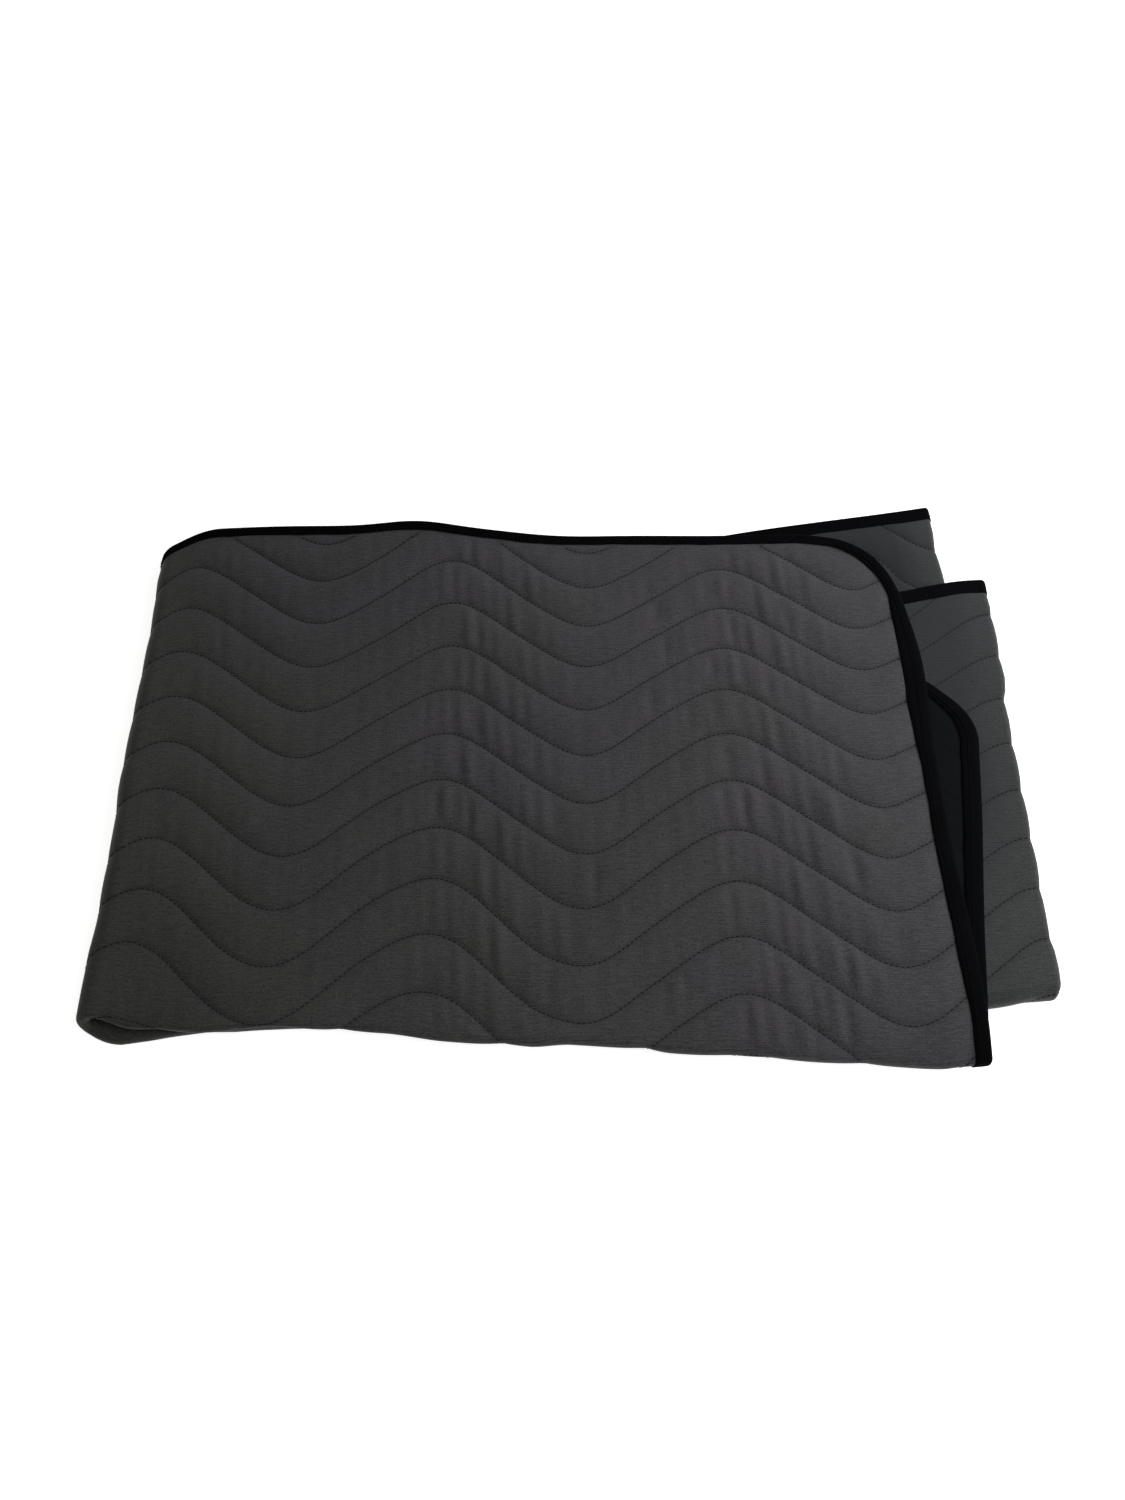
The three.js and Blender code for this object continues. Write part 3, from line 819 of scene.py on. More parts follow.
# How broad the tape shows, as a share of its width, on the back edge and underneath, and the stations
# between which it passes from the right end to the back edge, and from there to the underneath
BACK_TAPE, UNDER_TAPE = 0.9, 1.18
RIGHT_TO_BACK, BACK_TO_UNDER = (-735, -670), (300, 600)

# How broad it shows on the top layer's right end: row y, share of its width
RIGHT_TAPE = np.array([
    (-30, 1.22), (10, 1.04), (50, 1.06), (85, 1.22), (260, 1.22), (330, 1.65), (400, 1.6), (450, 1.25),
])
TAPE_WANDER = 0.7
TAPE_GATHER = 0.16
STRAIGHT_GATHER, CORNER_GATHER = 0.4, 4
GATHER_FADE = 4
TAPE_SEED = 21
WANDER_LENGTHS = np.array([37.0, 61.0, 113.0, 190.0])
GATHER_LENGTHS = np.array([7.0, 9.5, 14.0])
SECTION_MIDDLE = 2.8

# The tape's section: distance in from the outline and height, inside first and then outside
TAPE_SECTION = np.array([
    (13, 0.9), (5, 0.9), (1.5, 0.95), (1.2, 2.8), (1.5, 4.65), (5, 4.7), (13, 4.7), (13.3, 5.1),
    (13, 5.5), (10, 5.62), (5, 5.66), (2.2, 5.5), (0.7, 4.9), (0.05, 3.9), (-0.1, 2.8), (0.05, 1.7),
    (0.7, 0.75), (2.2, 0.2), (5, 0.05), (10, 0.06), (13, 0.12), (13.3, 0.5),
])

# Rows along a short end, closest on the front fold: from, to, number of steps
END_ROW_ZONES = (
    (CORNER_RADIUS - SHALLOW_HALF, -18, 64),
    (-18, 18, 24),
    (18, DEEP_HALF - CORNER_RADIUS, 84),
)
END_ROWS = even_steps(END_ROW_ZONES)[1:]


def long_side(s, side):
    """Places along one long side and its rounded corners, as columns s, y and the way in."""
    half = DEEP_HALF if side > 0 else SHALLOW_HALF
    from_end = np.minimum(s - CLOTH_START, CLOTH_END - s)
    angle = np.arccos(np.clip(1 - from_end / INNER_RADIUS, 0, 1))
    in_s = np.where(s < 0, 1, -1) * np.cos(angle)
    in_y = -side * np.sin(angle)
    return np.stack([s - EDGE_INSET * in_s, side * (half - CORNER_RADIUS) - CORNER_RADIUS * in_y,
                     in_s, in_y], -1)


def short_end(rows, s, way_in):
    """Places along one short end, as columns s, y and the way in."""
    return np.stack([np.full(len(rows), s), rows, np.full(len(rows), way_in), 0 * rows], -1)


def outline_path():
    """Round the bound outline: shallow side, flap end, deep side back, top end, as columns."""
    stations = STATIONS[:, 0]
    return np.concatenate([
        long_side(stations, -1),
        short_end(END_ROWS, BASE_LENGTH + FLAP_LENGTH, -1.0),
        long_side(stations[::-1], 1),
        short_end(END_ROWS[::-1], -TOP_LENGTH, 1.0),
    ])


def uneven(distance, lengths, rng):
    """A wandering curve within about one each way: the mean of sines with random phases."""
    phases = rng.uniform(0, FULL_TURN, len(lengths))
    return np.sin(FULL_TURN * distance[:, None] / lengths + phases).mean(-1)


OUTLINE = outline_path()
OUTLINE_STEPS = np.hypot(*(np.roll(OUTLINE, -1, 0) - OUTLINE)[:, :2].T)
OUTLINE_LENGTH = np.concatenate([[0], np.cumsum(OUTLINE_STEPS)])


def tape_breadth(path_s, path_y):
    """The share of its width that the tape shows: the table's at the right end, and an S to each of the
    other two."""
    right = np.interp(path_y, *RIGHT_TAPE.T)
    to_back = (BACK_TAPE - right) * step_between(path_s, *RIGHT_TO_BACK)
    to_under = (UNDER_TAPE - BACK_TAPE) * step_between(path_s, *BACK_TO_UNDER)
    return right + to_back + to_under


def tape_points():
    """The section carried round the outline, with both inner edges wandering on their own, and lifted
    between its edges by tiny waves, most where the way in turns round a corner."""
    rng = np.random.default_rng(TAPE_SEED)
    distance = OUTLINE_LENGTH[:-1]
    low_wander, high_wander = (uneven(distance, WANDER_LENGTHS, rng)[:, None] for _ in range(2))
    gather = uneven(distance, GATHER_LENGTHS, rng)[:, None]
    path_s, path_y, in_s, in_y = (column[:, None] for column in OUTLINE.T)
    inward, height = TAPE_SECTION.T
    is_low = height < SECTION_MIDDLE
    wander = TAPE_WANDER * np.where(is_low, low_wander, high_wander) * inward / BINDING_WIDTH
    turning = STRAIGHT_GATHER + CORNER_GATHER * np.abs(in_s * in_y)
    lift = TAPE_GATHER * (gather + 1) * turning * np.where(is_low, 1, -1)
    inside = smooth_step(inward / BINDING_WIDTH) * smooth_step((BINDING_WIDTH - inward) / GATHER_FADE)
    reach = inward * tape_breadth(path_s, path_y) + wander
    return place_on_folds(path_s + in_s * reach, path_y + in_y * reach, height + lift * inside)


def tape_piece(name):
    """A closed ring of quads between the neighbours along the path and round the section."""
    points = tape_points()
    path_points, section_points = points.shape[:2]
    path, around = np.meshgrid(np.arange(path_points), np.arange(section_points), indexing="ij")
    corner_path = np.stack([path, path, path + 1, path + 1], -1).reshape(-1, 4)
    corner_around = np.stack([around, around + 1, around + 1, around], -1).reshape(-1, 4)
    faces = corner_path % path_points * section_points + corner_around % section_points
    steps = np.hypot(*(np.roll(TAPE_SECTION, -1, 0) - TAPE_SECTION).T)
    section_length = np.concatenate([[0], np.cumsum(steps)])
    uv = np.stack([OUTLINE_LENGTH[corner_path], section_length[corner_around]], -1)
    return make_piece(name, points.reshape(-1, 3), [faces], [uv])


tape = tape_piece("edge_binding_tape")
print("tape length:", round(OUTLINE_LENGTH[-1] * MM, 2), "m")

# %% [markdown]
# ## Stitches
#
# The lines read as fine dashes: a thread that dives in and out every 4.6 mm. Modelling each stitch as
# a short bead of thread lets light catch it, which a painted dash can't do. One bead has only 17 faces,
# and thousands of them are placed at once by giving each bead's corners flat, beside its line, and
# folding them all in one sum. Only stitches that can be seen are made.

# %% Beads of thread
STITCH_PITCH = 4.6
BEAD_AROUND = 5

# Along the bead, in millimetres: place, thickness, height
BEAD_RINGS = np.array([(-1.9, 0.5, -0.3), (-1.2, 1.0, 0.1), (1.2, 1.0, 0.1), (1.9, 0.5, -0.3)])
THREAD_HALF_WIDTH = 0.46
THREAD_HALF_HEIGHT = 0.4


def bead_shape():
    """Along, across and up for the corners of one bead, ring after ring, and its faces."""
    angle = FULL_TURN * np.arange(BEAD_AROUND) / BEAD_AROUND
    along, thick, high = (column[:, None] for column in BEAD_RINGS.T)
    shape = np.stack(np.broadcast_arrays(
        along,
        thick * THREAD_HALF_WIDTH * np.cos(angle),
        high + thick * THREAD_HALF_HEIGHT * np.sin(angle)), -1)
    numbers = np.arange(len(BEAD_RINGS) * BEAD_AROUND).reshape(len(BEAD_RINGS), BEAD_AROUND)
    wrapped = np.concatenate([numbers, numbers[:, :1]], 1)
    ends = np.stack([numbers[0, ::-1], numbers[-1]])
    return shape.reshape(-1, 3), grid_quads(wrapped)[:, ::-1], ends


def stitch_piece(name, s, y, way, height, up):
    """Beads at s and y, turned the way their line runs, on a surface of that height. On the black side
    up is 1, and on the grey side it is -1, towards lower heights."""
    shape, sides, ends = bead_shape()
    along, across, above = shape.T
    way_s, way_y, up = (column[:, None] for column in (*way, up))
    bead_s = s[:, None] + along * way_s - up * across * way_y
    bead_y = y[:, None] + along * way_y + up * across * way_s
    points = place_on_folds(bead_s, bead_y, height[:, None] + up * above)
    first = len(shape) * np.arange(len(s))[:, None, None]
    face_sets = [(first + faces).reshape(-1, faces.shape[1]) for faces in (sides, ends)]
    uv = np.tile(shape[:, :2], (len(s), 1))
    return make_piece(name, points.reshape(-1, 3), face_sets, [uv[faces] for faces in face_sets])


# %% Quilting stitches
TOP_STITCHES = (CLOTH_START + 14, 32)
RIGHT_STITCHES = (686, 1004)
STITCH_LINES = np.arange(-1, 21)
MIDDLE_LINE = 5
RULER_STEP = 0.5
CLEAR_OF_TAPE = 15

# How far round a fold a stitch is still made: the front fold on top, as a share of half its arc; then, in
# millimetres, past the right fold, before it, and past the front fold at the right
FRONT_FOLD_SEEN = 1.6
RIGHT_FOLD_PAST, RIGHT_FOLD_BEFORE, FRONT_FOLD_PAST = 8, 3, 6


def stitch_stations(start, end):
    """Stations one stitch apart along a wavy line: its length is summed, then read back evenly."""
    fine = np.arange(start, end, RULER_STEP)
    length = np.cumsum(np.hypot(1, line_slope(fine, MIDDLE_LINE))) * RULER_STEP
    return np.interp(np.arange(length[0], length[-1], STITCH_PITCH), length, fine)


def quilting_places():
    """s and q of every stitch that shows: on top, over the left and front folds, and on the right."""
    stations = np.concatenate([stitch_stations(*TOP_STITCHES), stitch_stations(*RIGHT_STITCHES)])
    s, number = (grid.ravel() for grid in np.meshgrid(stations, STITCH_LINES.astype(float)))
    q = line_place(s, number)
    deep, _, half_arc = cloth_depths(s)
    y = cloth_row(s, q)
    on_cloth = (inside_outline(s, y) > CLEAR_OF_TAPE) & (q > 0)
    on_top = (s < TOP_STITCHES[1]) & (q < deep + FRONT_FOLD_SEEN * half_arc)
    before_end = (s > RIGHT_STITCHES[0]) & (s < BASE_LENGTH + RIGHT_FOLD_PAST)
    on_base = before_end & (y < FRONT_FOLD_PAST)
    on_flap = (s > BASE_LENGTH - RIGHT_FOLD_BEFORE) & (y > -FRONT_FOLD_PAST)
    shown = on_cloth & (on_top | on_base | on_flap)
    return s[shown], q[shown]


def line_way(s, q):
    """The way a quilting line runs on the flat cloth, one millimetre long; y counts against q."""
    slope = line_slope(s, np.round(line_number(s, q)))
    length = np.hypot(1, slope)
    return 1 / length, -slope / length


stitch_s, stitch_q = quilting_places()
stitch_y = cloth_row(stitch_s, stitch_q)
quilting = stitch_piece(
    "quilting_stitches", stitch_s, stitch_y, line_way(stitch_s, stitch_q),
    face_height(stitch_s, stitch_q, stitch_y), np.full(len(stitch_s), -1.0))

# %% [markdown]
# The tape is held by one more line of stitches near its inner edge. The same beads serve: they follow
# the outline, on the grey side where that side shows and on the black side where the black shows.

# %% Tape stitches
TAPE_STITCH_INSET = 10.2
TAPE_STITCH_PITCH = 4.2
TAPE_FACE_HEIGHT = 0.06
TAPE_BACK_HEIGHT = 5.62
TAPE_STITCH_REACH = 8


def tape_stitch_places():
    """Columns s, y, the way along and the side that shows, for each stitch of the tape."""
    distance = np.arange(0, OUTLINE_LENGTH[-1], TAPE_STITCH_PITCH)
    closed = np.concatenate([OUTLINE, OUTLINE[:1]])
    s, y, in_s, in_y = (np.interp(distance, OUTLINE_LENGTH, column) for column in closed.T)
    length = np.hypot(in_s, in_y)
    in_s, in_y = in_s / length, in_y / length
    s, y = s + TAPE_STITCH_INSET * in_s, y + TAPE_STITCH_INSET * in_y
    on_top = s < TAPE_STITCH_REACH
    on_right = (s > RIGHT_STITCHES[0]) & (s < RIGHT_STITCHES[1])
    grey = (on_top & (y > 0)) | (on_right & ((s > BASE_LENGTH) == (y > 0)))
    black = on_top & (y < 0)
    shown = grey | black
    return s[shown], y[shown], (in_y[shown], -in_s[shown]), np.where(black, 1.0, -1.0)[shown]


tape_s, tape_y, tape_way, tape_side = tape_stitch_places()
tape_stitches = stitch_piece(
    "binding_stitches", tape_s, tape_y, tape_way,
    np.where(tape_side > 0, TAPE_BACK_HEIGHT, TAPE_FACE_HEIGHT), tape_side)

# %% [markdown]
# ## Writing materials as sums
#
# Materials here are procedural: each is a sum over the flat cloth, made of nodes. A small class wraps
# a node's output, so that `1 - mask` or `rib * 0.5` adds the Math node by itself and the sum can be
# read as a line of Python. Any other node comes from one method, which takes its type, its settings
# and what goes into its sockets.


# %% Material helpers
class Signal:
    """One output of a node; sums with numbers or other outputs add Math nodes."""

    def __init__(self, finish, socket):
        self.finish = finish
        self.socket = socket

    def math(self, operation, *others):
        return self.finish.add("ShaderNodeMath", {"operation": operation}, dict(enumerate((self, *others))))

    def __add__(self, other):
        return self.math("ADD", other)

    def __mul__(self, other):
        return self.math("MULTIPLY", other)

    def __sub__(self, other):
        return self.math("SUBTRACT", other)

    def __rsub__(self, other):
        return self.finish.add("ShaderNodeMath", {"operation": "SUBTRACT"}, {0: other, 1: self})

    def __truediv__(self, other):
        return self.math("DIVIDE", other)

    __radd__ = __add__
    __rmul__ = __mul__


class Finish:
    """A material under construction: add() makes any node, and shade() closes it with its shader."""

    def __init__(self, name):
        self.material = bpy.data.materials.new(name)
        self.material.use_nodes = True
        self.tree = self.material.node_tree
        self.tree.nodes.clear()

    def add(self, kind, settings=None, sockets=None, output=0):
        node = self.tree.nodes.new(kind)
        for name, value in (settings or {}).items():
            setattr(node, name, value)
        for name, value in (sockets or {}).items():
            if isinstance(value, Signal):
                self.tree.links.new(value.socket, node.inputs[name])
            else:
                node.inputs[name].default_value = value
        return Signal(self, node.outputs[output]) if node.outputs else None

    def flat_place(self):
        """The two numbers of the UV map, in metres along and across the flat cloth."""
        place = self.add("ShaderNodeUVMap", {"uv_map": UV_NAME})
        return tuple(self.add("ShaderNodeSeparateXYZ", None, {0: place}, axis) for axis in (0, 1))

    def noise(self, u, v, lumps, detail=2.0, roughness=0.5):
        """Noise between about 0 and 1, with so many lumps to a metre along and across the cloth."""
        vector = self.add("ShaderNodeCombineXYZ", None, {0: u * lumps[0], 1: v * lumps[1]})
        sockets = {"Vector": vector, "Scale": 1.0, "Detail": detail, "Roughness": roughness}
        return self.add("ShaderNodeTexNoise", None, sockets)

    def grain(self, u, v, lumps, detail=2.0, roughness=0.5):
        """The same noise, as much below 0 as above it."""
        return self.noise(u, v, lumps, detail, roughness) - 0.5

    def ramp(self, value, low, high):
        """0 at low and 1 at high, with an S between them."""
        return self.add("ShaderNodeMapRange", {"interpolation_type": "SMOOTHSTEP"},
                        {"Value": value, "From Min": low, "From Max": high})

    def blend(self, share, first, second):
        """A colour between two others."""
        return self.add("ShaderNodeMix", {"data_type": "RGBA"}, {0: share, 6: first, 7: second}, 2)

    def shade(self, colour, roughness, height, **constants):
        """The shader: colour and roughness from sums, and a height in metres that tilts the light."""
        bump = self.add("ShaderNodeBump", None, {"Height": height, "Strength": 1.0, "Distance": 1.0})
        sockets = {"Base Color": colour, "Roughness": roughness, "Normal": bump}
        sockets.update({name.replace("_", " "): value for name, value in constants.items()})
        shader = self.add("ShaderNodeBsdfPrincipled", None, sockets)
        self.add("ShaderNodeOutputMaterial", None, {"Surface": shader})
        return self.material


# %% [markdown]
# ## Charcoal microfibre
#
# The face is a brushed knit in charcoal grey. Seen close it has fine ribs along the cloth, 1.7 mm apart,
# and a short nap that makes it blotchy. Its hue leans a little from end to end, olive at the left fold and
# the front, violet and slate towards the right end: this lean is painted warm and cool light. On the layers
# turned underneath the colour is darker and cooler: partly the nap, taken to run the other way there, and
# partly painted shade of the pile above them. Along each line the cloth dips a little and its colour is
# darkened as painted shade of the groove, so the sum that places the lines is written once more, in nodes.
# The finest puckers are bump. A little sheen stands for the nap, and very little gloss, because a dark
# cloth would look like vinyl with more.

# %% Colours and sizes of the face finish
CHARCOAL_DARK = (0.034, 0.034, 0.0345, 1)
CHARCOAL_OLIVE = (0.0630, 0.0656, 0.0612, 1)
CHARCOAL_VIOLET = (0.0680, 0.0622, 0.0705, 1)
CHARCOAL_SLATE = (0.0635, 0.0638, 0.0690, 1)
# The colour of the painted shade at the quilting lines
CHARCOAL_PAINTED_SHADE = (0.010, 0.010, 0.011, 1)
# The colour of nap the other way and of painted shade on the layers turned under
CHARCOAL_NAP_AND_SHADE = (0.0095, 0.0130, 0.0160, 1)
RIB_PITCH = 1.7 * MM
RIB_DEPTH = 0.03 * MM
NAP_DEPTH = 0.2 * MM
STREAK_DEPTH = 0.12 * MM
SEAM_DEPTH = 0.15 * MM
PUCKER_DEPTH = 1.1 * MM

# Lumps to a metre, along and across the cloth
BLOTCH_LUMPS, NAP_LUMPS, STREAK_LUMPS = (15, 15), (420, 800), (80, 640)
DRIFT_LUMPS, TINT_LUMPS = (50, 140), (7, 7)
PATCH_LUMPS, PUCKER_LUMPS = (16, 20), (60, 22)

# Shares in the step from dark to light, and how far the ribs drift, in radians of their sine
BLOTCH_SHARE, NAP_SHARE, STREAK_SHARE, RIB_SHARE = 0.55, 3.0, 1.8, 0.2
RIB_DRIFT = 5

# Roughness: its mean, and how much the nap changes it
CHARCOAL_ROUGH, NAP_ROUGH = 0.88, 0.16

# Shade at the lines: share, distances where it is full and where it ends
SEAM_SHADE, SEAM_REACH = 0.16, (0.4 * MM, 4.5 * MM)
VALLEY_SHADE, VALLEY_REACH = 0.08, (0.0, 11 * MM)

# Hue: how it leans along and across, which is painted warm and cool light, and between which values each
# colour comes in
PAINTED_LIGHT_LEAN, VIOLET_RANGE = 0.5, (0.38, 0.68)
SLATE_NOISE, SLATE_RANGE = 0.3, (0.75, 0.9)

# Nap the other way and painted shade of the pile above, on the layers turned under: least share; more
# painted shade near the back edge and near the far edge, each with its rows; the stations where it starts
# and is full; what is left of it on the right fold, and how far that reaches
NAP_AND_SHADE_LEAST = 0.3
PAINTED_SHADE_NEAR, NEAR_ROWS = 0.52, (0.2, 0.5)
PAINTED_SHADE_FAR, FAR_ROWS = 0.42, (0.6, 0.74)
TURNED_UNDER = (0.45, 0.65)
NAP_AND_SHADE_ON_FOLD, ON_FOLD_REACH = 0.45, 0.05

# Puckers: lean, swing and mean along a wave, least share between patches and where patches come in
PUCKER_LEAN = 1 / 15
PUCKER_SWING, PUCKER_MEAN = 0.5, 0.6
PATCH_LEAST, PATCH_RANGE = 0.35, (0.35, 0.65)
print("ribs to a metre:", round(1 / RIB_PITCH))


# %% The quilting lines as nodes
def wave_angle(finish, u):
    """The wave's angle at a place along the cloth, as nodes."""
    gain = finish.ramp(u, UNDER_START * MM, UNDER_END * MM) * UNDER_GAIN
    return ((u - WAVE_CREST * MM) / (WAVE_PERIOD * MM) + gain) * FULL_TURN


def stray_nodes(finish, u, v):
    """How far a line strays to the front, as nodes."""
    total = 0.0
    for middle, reach, start, changed, first, last in STRAYS:
        amount = finish.ramp(v, start * MM, changed * MM) * ((last - first) * MM) + first * MM
        offset = (u - middle * MM) / (reach * MM)
        total = amount * (0.0 - offset * offset).math("EXPONENT") + total
    return total


def distance_to_line(finish, u, v):
    """Distance across the cloth to the nearest quilting line, in metres, as nodes."""
    turn = wave_angle(finish, u)
    overtone = (turn * WAVE_OVERTONE).math("COSINE") * (WAVE_POINT * MM)
    rise = turn.math("COSINE") * (WAVE_HEIGHT * MM) + overtone
    dip = finish.ramp(u, DIP_START * MM, DIP_FULL * MM) - finish.ramp(u, DIP_FADE * MM, DIP_END * MM)
    straight = v - stray_nodes(finish, u, v) + rise - dip * (LEFT_DIP * MM)
    number = (straight - FIRST_LINE * MM) / (LINE_SPACING * MM)
    return ((number + 0.5).math("FRACT") - 0.5).math("ABSOLUTE") * (LINE_SPACING * MM)


# %% Face finish
def charcoal_light(cloth, u, v):
    """The lighter charcoal: olive near the left fold and the front, violet towards the back right, slate
    at the right end, with soft lumps where they meet. The lean from end to end is painted warm and cool
    light; the lumps are the cloth's own tone."""
    tint = cloth.noise(u, v, TINT_LUMPS, detail=1.0)
    # The lean along and across paints warm light at the left fold and cool light at the right end
    violet = cloth.ramp(tint - u * PAINTED_LIGHT_LEAN - v * PAINTED_LIGHT_LEAN, *VIOLET_RANGE)
    slate = cloth.ramp(tint * SLATE_NOISE - u, *SLATE_RANGE)
    return cloth.blend(slate, cloth.blend(violet, CHARCOAL_OLIVE, CHARCOAL_VIOLET), CHARCOAL_SLATE)


def nap_and_painted_shade(cloth, u, v):
    """Share of the nap that runs the other way and of painted shade from the pile above: none on top, more
    underneath, less on the right fold.
    """
    near = (1 - cloth.ramp(v, *NEAR_ROWS)) * PAINTED_SHADE_NEAR
    far = cloth.ramp(v, *FAR_ROWS) * PAINTED_SHADE_FAR
    from_fold = cloth.ramp((u - BASE_LENGTH * MM).math("ABSOLUTE"), 0.0, ON_FOLD_REACH)
    off_fold = from_fold * (1 - NAP_AND_SHADE_ON_FOLD) + NAP_AND_SHADE_ON_FOLD
    return (NAP_AND_SHADE_LEAST + far + near) * cloth.ramp(u, *TURNED_UNDER) * off_fold


def pucker_height(cloth, u, v):
    """Short upright puckers in patches, most of them past a crest, in metres."""
    past_crest = (wave_angle(cloth, u) + RIPPLE_TURN).math("COSINE") * PUCKER_SWING + PUCKER_MEAN
    patch = cloth.ramp(cloth.noise(u, v, PATCH_LUMPS, detail=1.0), *PATCH_RANGE) + PATCH_LEAST
    pucker = cloth.grain(u + v * PUCKER_LEAN, v, PUCKER_LUMPS, detail=1.0)
    return pucker * past_crest * patch * PUCKER_DEPTH


def charcoal_finish():
    """Colour: dark to light charcoal by blotches, nap, streaks and ribs, then nap the other way and painted
    shade on the layers turned under, then painted shade at the lines. Height: ribs, nap, streaks and
    puckers, less a dip at the lines."""
    cloth = Finish("charcoal_microfibre")
    u, v = cloth.flat_place()
    to_line = distance_to_line(cloth, u, v)
    # seam darkens the colour as painted shade and dips the bump; valley is painted shade over the whole
    # groove
    seam = 1 - cloth.ramp(to_line, *SEAM_REACH)
    valley = 1 - cloth.ramp(to_line, *VALLEY_REACH)
    blotch = cloth.grain(u, v, BLOTCH_LUMPS, detail=3.0)
    nap = cloth.grain(u, v, NAP_LUMPS, roughness=0.6)
    streak = cloth.grain(u, v, STREAK_LUMPS)
    drift = cloth.noise(u, v, DRIFT_LUMPS, detail=1.0) * RIB_DRIFT
    rib = (v * (FULL_TURN / RIB_PITCH) + drift).math("SINE")
    share = blotch * BLOTCH_SHARE + nap * NAP_SHARE + streak * STREAK_SHARE + rib * RIB_SHARE + 0.5
    colour = cloth.blend(share, CHARCOAL_DARK, charcoal_light(cloth, u, v))
    # Darker and cooler on the layers turned under: partly nap, partly painted shade of the pile above
    colour = cloth.blend(nap_and_painted_shade(cloth, u, v), colour, CHARCOAL_NAP_AND_SHADE)
    # Painted shade darkens the colour at and around each quilting line
    colour = cloth.blend(seam * SEAM_SHADE + valley * VALLEY_SHADE, colour, CHARCOAL_PAINTED_SHADE)
    height = rib * RIB_DEPTH + nap * NAP_DEPTH + streak * STREAK_DEPTH - seam * SEAM_DEPTH
    height = height + pucker_height(cloth, u, v)
    return cloth.shade(
        colour, CHARCOAL_ROUGH + nap * NAP_ROUGH, height, Specular_IOR_Level=0.16,
        Sheen_Weight=0.22, Sheen_Roughness=0.5, Sheen_Tint=(0.95, 0.97, 1, 1))


face.data.materials.append(charcoal_finish())

# %% [markdown]
# ## Black backing, tape and thread
#
# The backing is a plain black weave, so two sines cross in its sum. The tape is a ribbed ribbon: its
# ribs cross it every 0.8 mm, with a finer grain along them, and wear makes it lighter in soft patches.
# Thread is two twisted plies, shown as slanting bands on each bead, and a little glossier.

# %% Backing finish
BACKING_DARK = (0.0034, 0.0042, 0.0048, 1)
BACKING_LIGHT = (0.0084, 0.0104, 0.0117, 1)
WEAVE_PITCH = 0.9 * MM
WEAVE_DEPTH = 0.06 * MM
BACKING_SEAM_SHADE, BACKING_SEAM_REACH = 0.5, (0.3 * MM, 1.6 * MM)
BACKING_LUMPS, SLUB_LUMPS = (22, 22), (900, 120)
WEAVE_SHARE, BACKING_SHARE, SLUB_SHARE = 0.16, 0.7, 0.6
BACKING_ROUGH, SLUB_ROUGH = 0.85, 0.15


def backing_finish():
    """Colour: two blacks by the weave and a slow blotch, with painted shade at the lines; height: crossed
    sines, dented at the lines.
    """
    cloth = Finish("black_backing_weave")
    u, v = cloth.flat_place()
    seam = 1 - cloth.ramp(distance_to_line(cloth, u, v), *BACKING_SEAM_REACH)
    warp, weft = ((place * (FULL_TURN / WEAVE_PITCH)).math("SINE") for place in (u, v))
    weave = warp * weft
    blotch = cloth.grain(u, v, BACKING_LUMPS, detail=3.0)
    slub = cloth.grain(u, v, SLUB_LUMPS)
    share = weave * WEAVE_SHARE + blotch * BACKING_SHARE + slub * SLUB_SHARE + 0.5
    colour = cloth.blend(share, BACKING_DARK, BACKING_LIGHT)
    # Painted shade darkens the colour at the quilting lines
    colour = cloth.blend(seam * BACKING_SEAM_SHADE, colour, BACKING_DARK)
    height = weave * WEAVE_DEPTH + slub * WEAVE_DEPTH - seam * SEAM_DEPTH
    roughness = BACKING_ROUGH + slub * SLUB_ROUGH
    return cloth.shade(colour, roughness, height, Specular_IOR_Level=0.02)


backing.data.materials.append(backing_finish())

# %% Tape finish
TAPE_DARK = (0.0013, 0.0014, 0.0017, 1)
TAPE_LIGHT = (0.0036, 0.0039, 0.0046, 1)
TAPE_RIB_PITCH = 0.8 * MM
TAPE_RIB_DEPTH = 0.07 * MM
TAPE_DRIFT, TAPE_DRIFT_LUMPS = 2, (60, 300)
GRAIN_LUMPS, WEAR_LUMPS = (260, 1500), (30, 60)
TAPE_RIB_SHARE, GRAIN_SHARE, WEAR_SHARE, TAPE_MEAN = 0.15, 0.5, 0.8, 0.45
TAPE_ROUGH, GRAIN_ROUGH = 0.8, 0.2


def tape_finish():
    """Colour: two blacks by ribs across the ribbon, a grain and wear; height: the ribs and the grain."""
    ribbon = Finish("black_ribbed_tape")
    u, v = ribbon.flat_place()
    drift = ribbon.noise(u, v, TAPE_DRIFT_LUMPS, detail=1.0) * TAPE_DRIFT
    rib = (u * (FULL_TURN / TAPE_RIB_PITCH) + drift).math("SINE")
    grain = ribbon.grain(u, v, GRAIN_LUMPS)
    wear = ribbon.grain(u, v, WEAR_LUMPS, detail=3.0)
    share = rib * TAPE_RIB_SHARE + grain * GRAIN_SHARE + wear * WEAR_SHARE + TAPE_MEAN
    colour = ribbon.blend(share, TAPE_DARK, TAPE_LIGHT)
    height = rib * TAPE_RIB_DEPTH + grain * TAPE_RIB_DEPTH
    roughness = TAPE_ROUGH + grain * GRAIN_ROUGH
    return ribbon.shade(colour, roughness, height, Specular_IOR_Level=0.02)


tape.data.materials.append(tape_finish())

# %% Thread finish
PLY_PITCH = 0.9 * MM
PLY_SLANT = 1.4
PLY_SHARE = 0.4
PLY_DEPTH = 0.05 * MM
THREAD_ROUGH, PLY_ROUGH = 0.75, 0.08

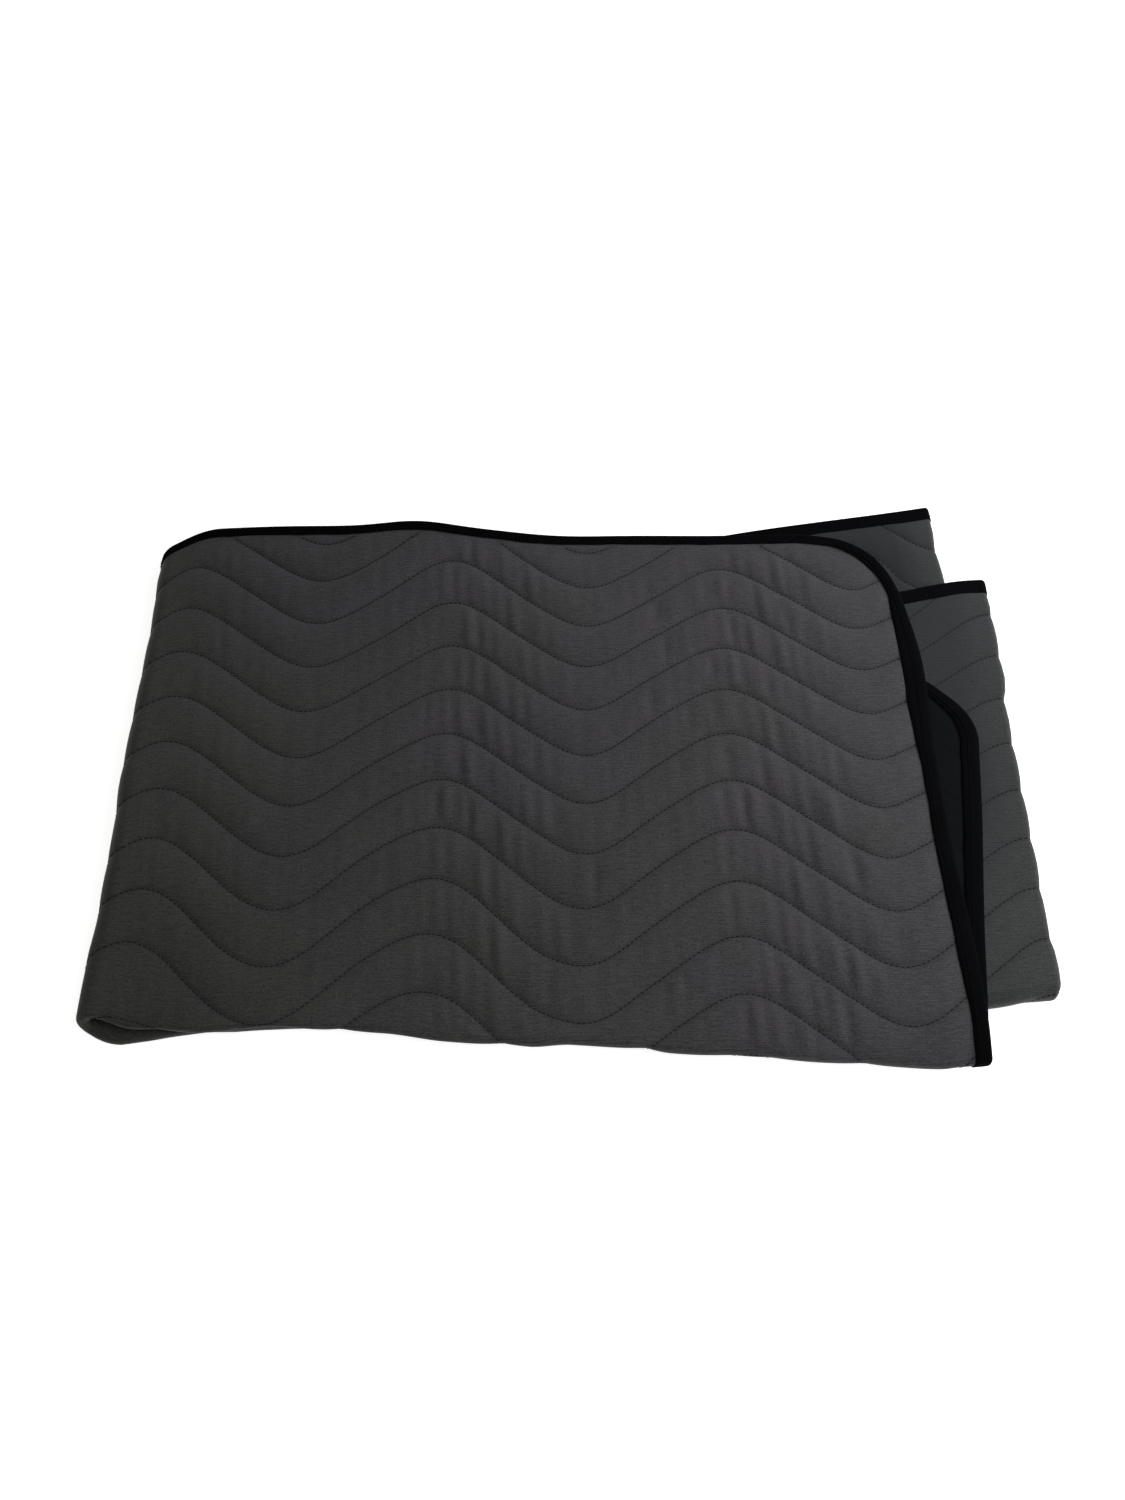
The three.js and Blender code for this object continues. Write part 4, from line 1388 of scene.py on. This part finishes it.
# Stitches, name of their thread, its dark and its light
THREADS = (
    (quilting, "charcoal_thread", (0.013, 0.013, 0.0135, 1), (0.023, 0.023, 0.024, 1)),
    (tape_stitches, "black_thread", (0.0012, 0.0013, 0.0015, 1), (0.0034, 0.0036, 0.0042, 1)),
)


def thread_finish(name, dark, light):
    """Colour: slanting bands of two plies; height: the same bands."""
    thread = Finish(name)
    u, v = thread.flat_place()
    ply = ((u + v * PLY_SLANT) * (FULL_TURN / PLY_PITCH)).math("SINE")
    colour = thread.blend(ply * PLY_SHARE + 0.5, dark, light)
    roughness = THREAD_ROUGH - ply * PLY_ROUGH
    return thread.shade(colour, roughness, ply * PLY_DEPTH, Specular_IOR_Level=0.04)


for stitches, *thread_look in THREADS:
    stitches.data.materials.append(thread_finish(*thread_look))
print("finishes:", [material.name for material in bpy.data.materials if material.users])

# %% [markdown]
# ## Floor and light
#
# The pile lies on a plain white floor. The key light stands to the right and a little behind, low enough
# to rake the cloth and shade its grooves. A broad window light above softens it, and a faint warm bounce
# from the left lifts the far side. The sky is dim, so that it doesn't wash the grooves out, with a white
# backdrop for the camera, and the floor glows a little, as an overexposed paper sweep does.

# %% Floor and light
FLOOR_HALF = 4.0
FLOOR_DROP = 0.4 * MM
FLOOR_WHITE = (0.86, 0.86, 0.86, 1)
FLOOR_GREY = (0.8, 0.8, 0.8, 1)
FLOOR_GLOW = 0.85
PAPER_LUMPS = (900, 900)
PAPER_DEPTH = 0.02 * MM
PAPER_SHARE = 0.2
PAPER_ROUGH, PAPER_GRAIN_ROUGH = 0.9, 0.05
SKY_COLOUR = (1, 0.96, 0.85, 1)
SKY_STRENGTH = 0.07
BACKDROP_WHITE = (0.95, 0.95, 0.95, 1)

# Name, place, aim, size, power, colour
LAMPS = (
    ("key_light", (1.45, 0.6, 0.7), (0.1, 0.0, 0.0), 0.5, 18, (0.98, 0.98, 1.0)),
    ("window_light", (0.6, -0.2, 0.9), (0.1, 0.0, 0.0), 0.9, 6.5, (0.97, 0.97, 1.0)),
    ("bounce_light", (-1.2, -0.3, 1.1), (-0.2, 0.0, 0.0), 0.9, 1.4, (1.0, 0.92, 0.72)),
)


def make_floor():
    """A square sheet of white paper just below the pile, with a faint grain and glow."""
    corners = np.array([(-1, -1), (1, -1), (1, 1), (-1, 1)], float) * FLOOR_HALF
    points = np.concatenate([corners, np.full((4, 1), -FLOOR_DROP)], 1) / MM
    faces = np.arange(4)[None]
    floor = make_piece("floor", points, [faces], [corners[faces] / MM])
    paper = Finish("white_paper")
    u, v = paper.flat_place()
    grain = paper.grain(u, v, PAPER_LUMPS)
    colour = paper.blend(grain * PAPER_SHARE, FLOOR_WHITE, FLOOR_GREY)
    roughness = PAPER_ROUGH + grain * PAPER_GRAIN_ROUGH
    floor.data.materials.append(paper.shade(
        colour, roughness, grain * PAPER_DEPTH, Specular_IOR_Level=0.1,
        Emission_Color=(1, 1, 1, 1), Emission_Strength=FLOOR_GLOW))
    return floor


def make_lamp(name, place, aim, size, power, colour):
    """A square soft light turned so that it faces its aim."""
    data = bpy.data.lights.new(name, "AREA")
    data.size = size
    data.energy = power
    data.color = colour
    lamp = bpy.data.objects.new(name, data)
    lamp.visible_camera = False
    lamp.location = place
    lamp.rotation_euler = (Vector(aim) - Vector(place)).to_track_quat("-Z", "Y").to_euler()
    bpy.context.scene.collection.objects.link(lamp)
    return lamp


def make_sky():
    """A dim pale sky to fill the shadows, which looks as white as the paper where the camera meets it."""
    world = bpy.data.worlds.new("pale_sky")
    world.use_nodes = True
    nodes, links = world.node_tree.nodes, world.node_tree.links
    dim = nodes["Background"]
    dim.inputs["Color"].default_value = SKY_COLOUR
    dim.inputs["Strength"].default_value = SKY_STRENGTH
    white = nodes.new("ShaderNodeBackground")
    white.inputs["Color"].default_value = BACKDROP_WHITE
    mix = nodes.new("ShaderNodeMixShader")
    links.new(nodes.new("ShaderNodeLightPath").outputs["Is Camera Ray"], mix.inputs[0])
    links.new(dim.outputs[0], mix.inputs[1])
    links.new(white.outputs[0], mix.inputs[2])
    links.new(mix.outputs[0], nodes["World Output"].inputs["Surface"])
    return world


floor = make_floor()
for lamp in LAMPS:
    make_lamp(*lamp)
bpy.context.scene.world = make_sky()
bpy.context.scene.view_settings.view_transform = "Standard"

# %% [markdown]
# ## Joining the frame
#
# Every piece rides on the part's one body. The face, the backing and the tape stand for their CAD
# solids, which are hidden.

# %% Join the pieces to the frame
# Piece, CAD node it stands for, finish slot
PIECES = (
    (face, "quilted_face", "face_cloth"),
    (backing, "backing", "backing_cloth"),
    (tape, "edge_binding", "binding_tape"),
    (quilting, None, "face_cloth"),
    (tape_stitches, None, "binding_tape"),
)
for piece, node, slot in PIECES:
    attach(piece, "root")
    if node:
        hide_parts(node)

print("joined:", [piece.name for piece, node, slot in PIECES])
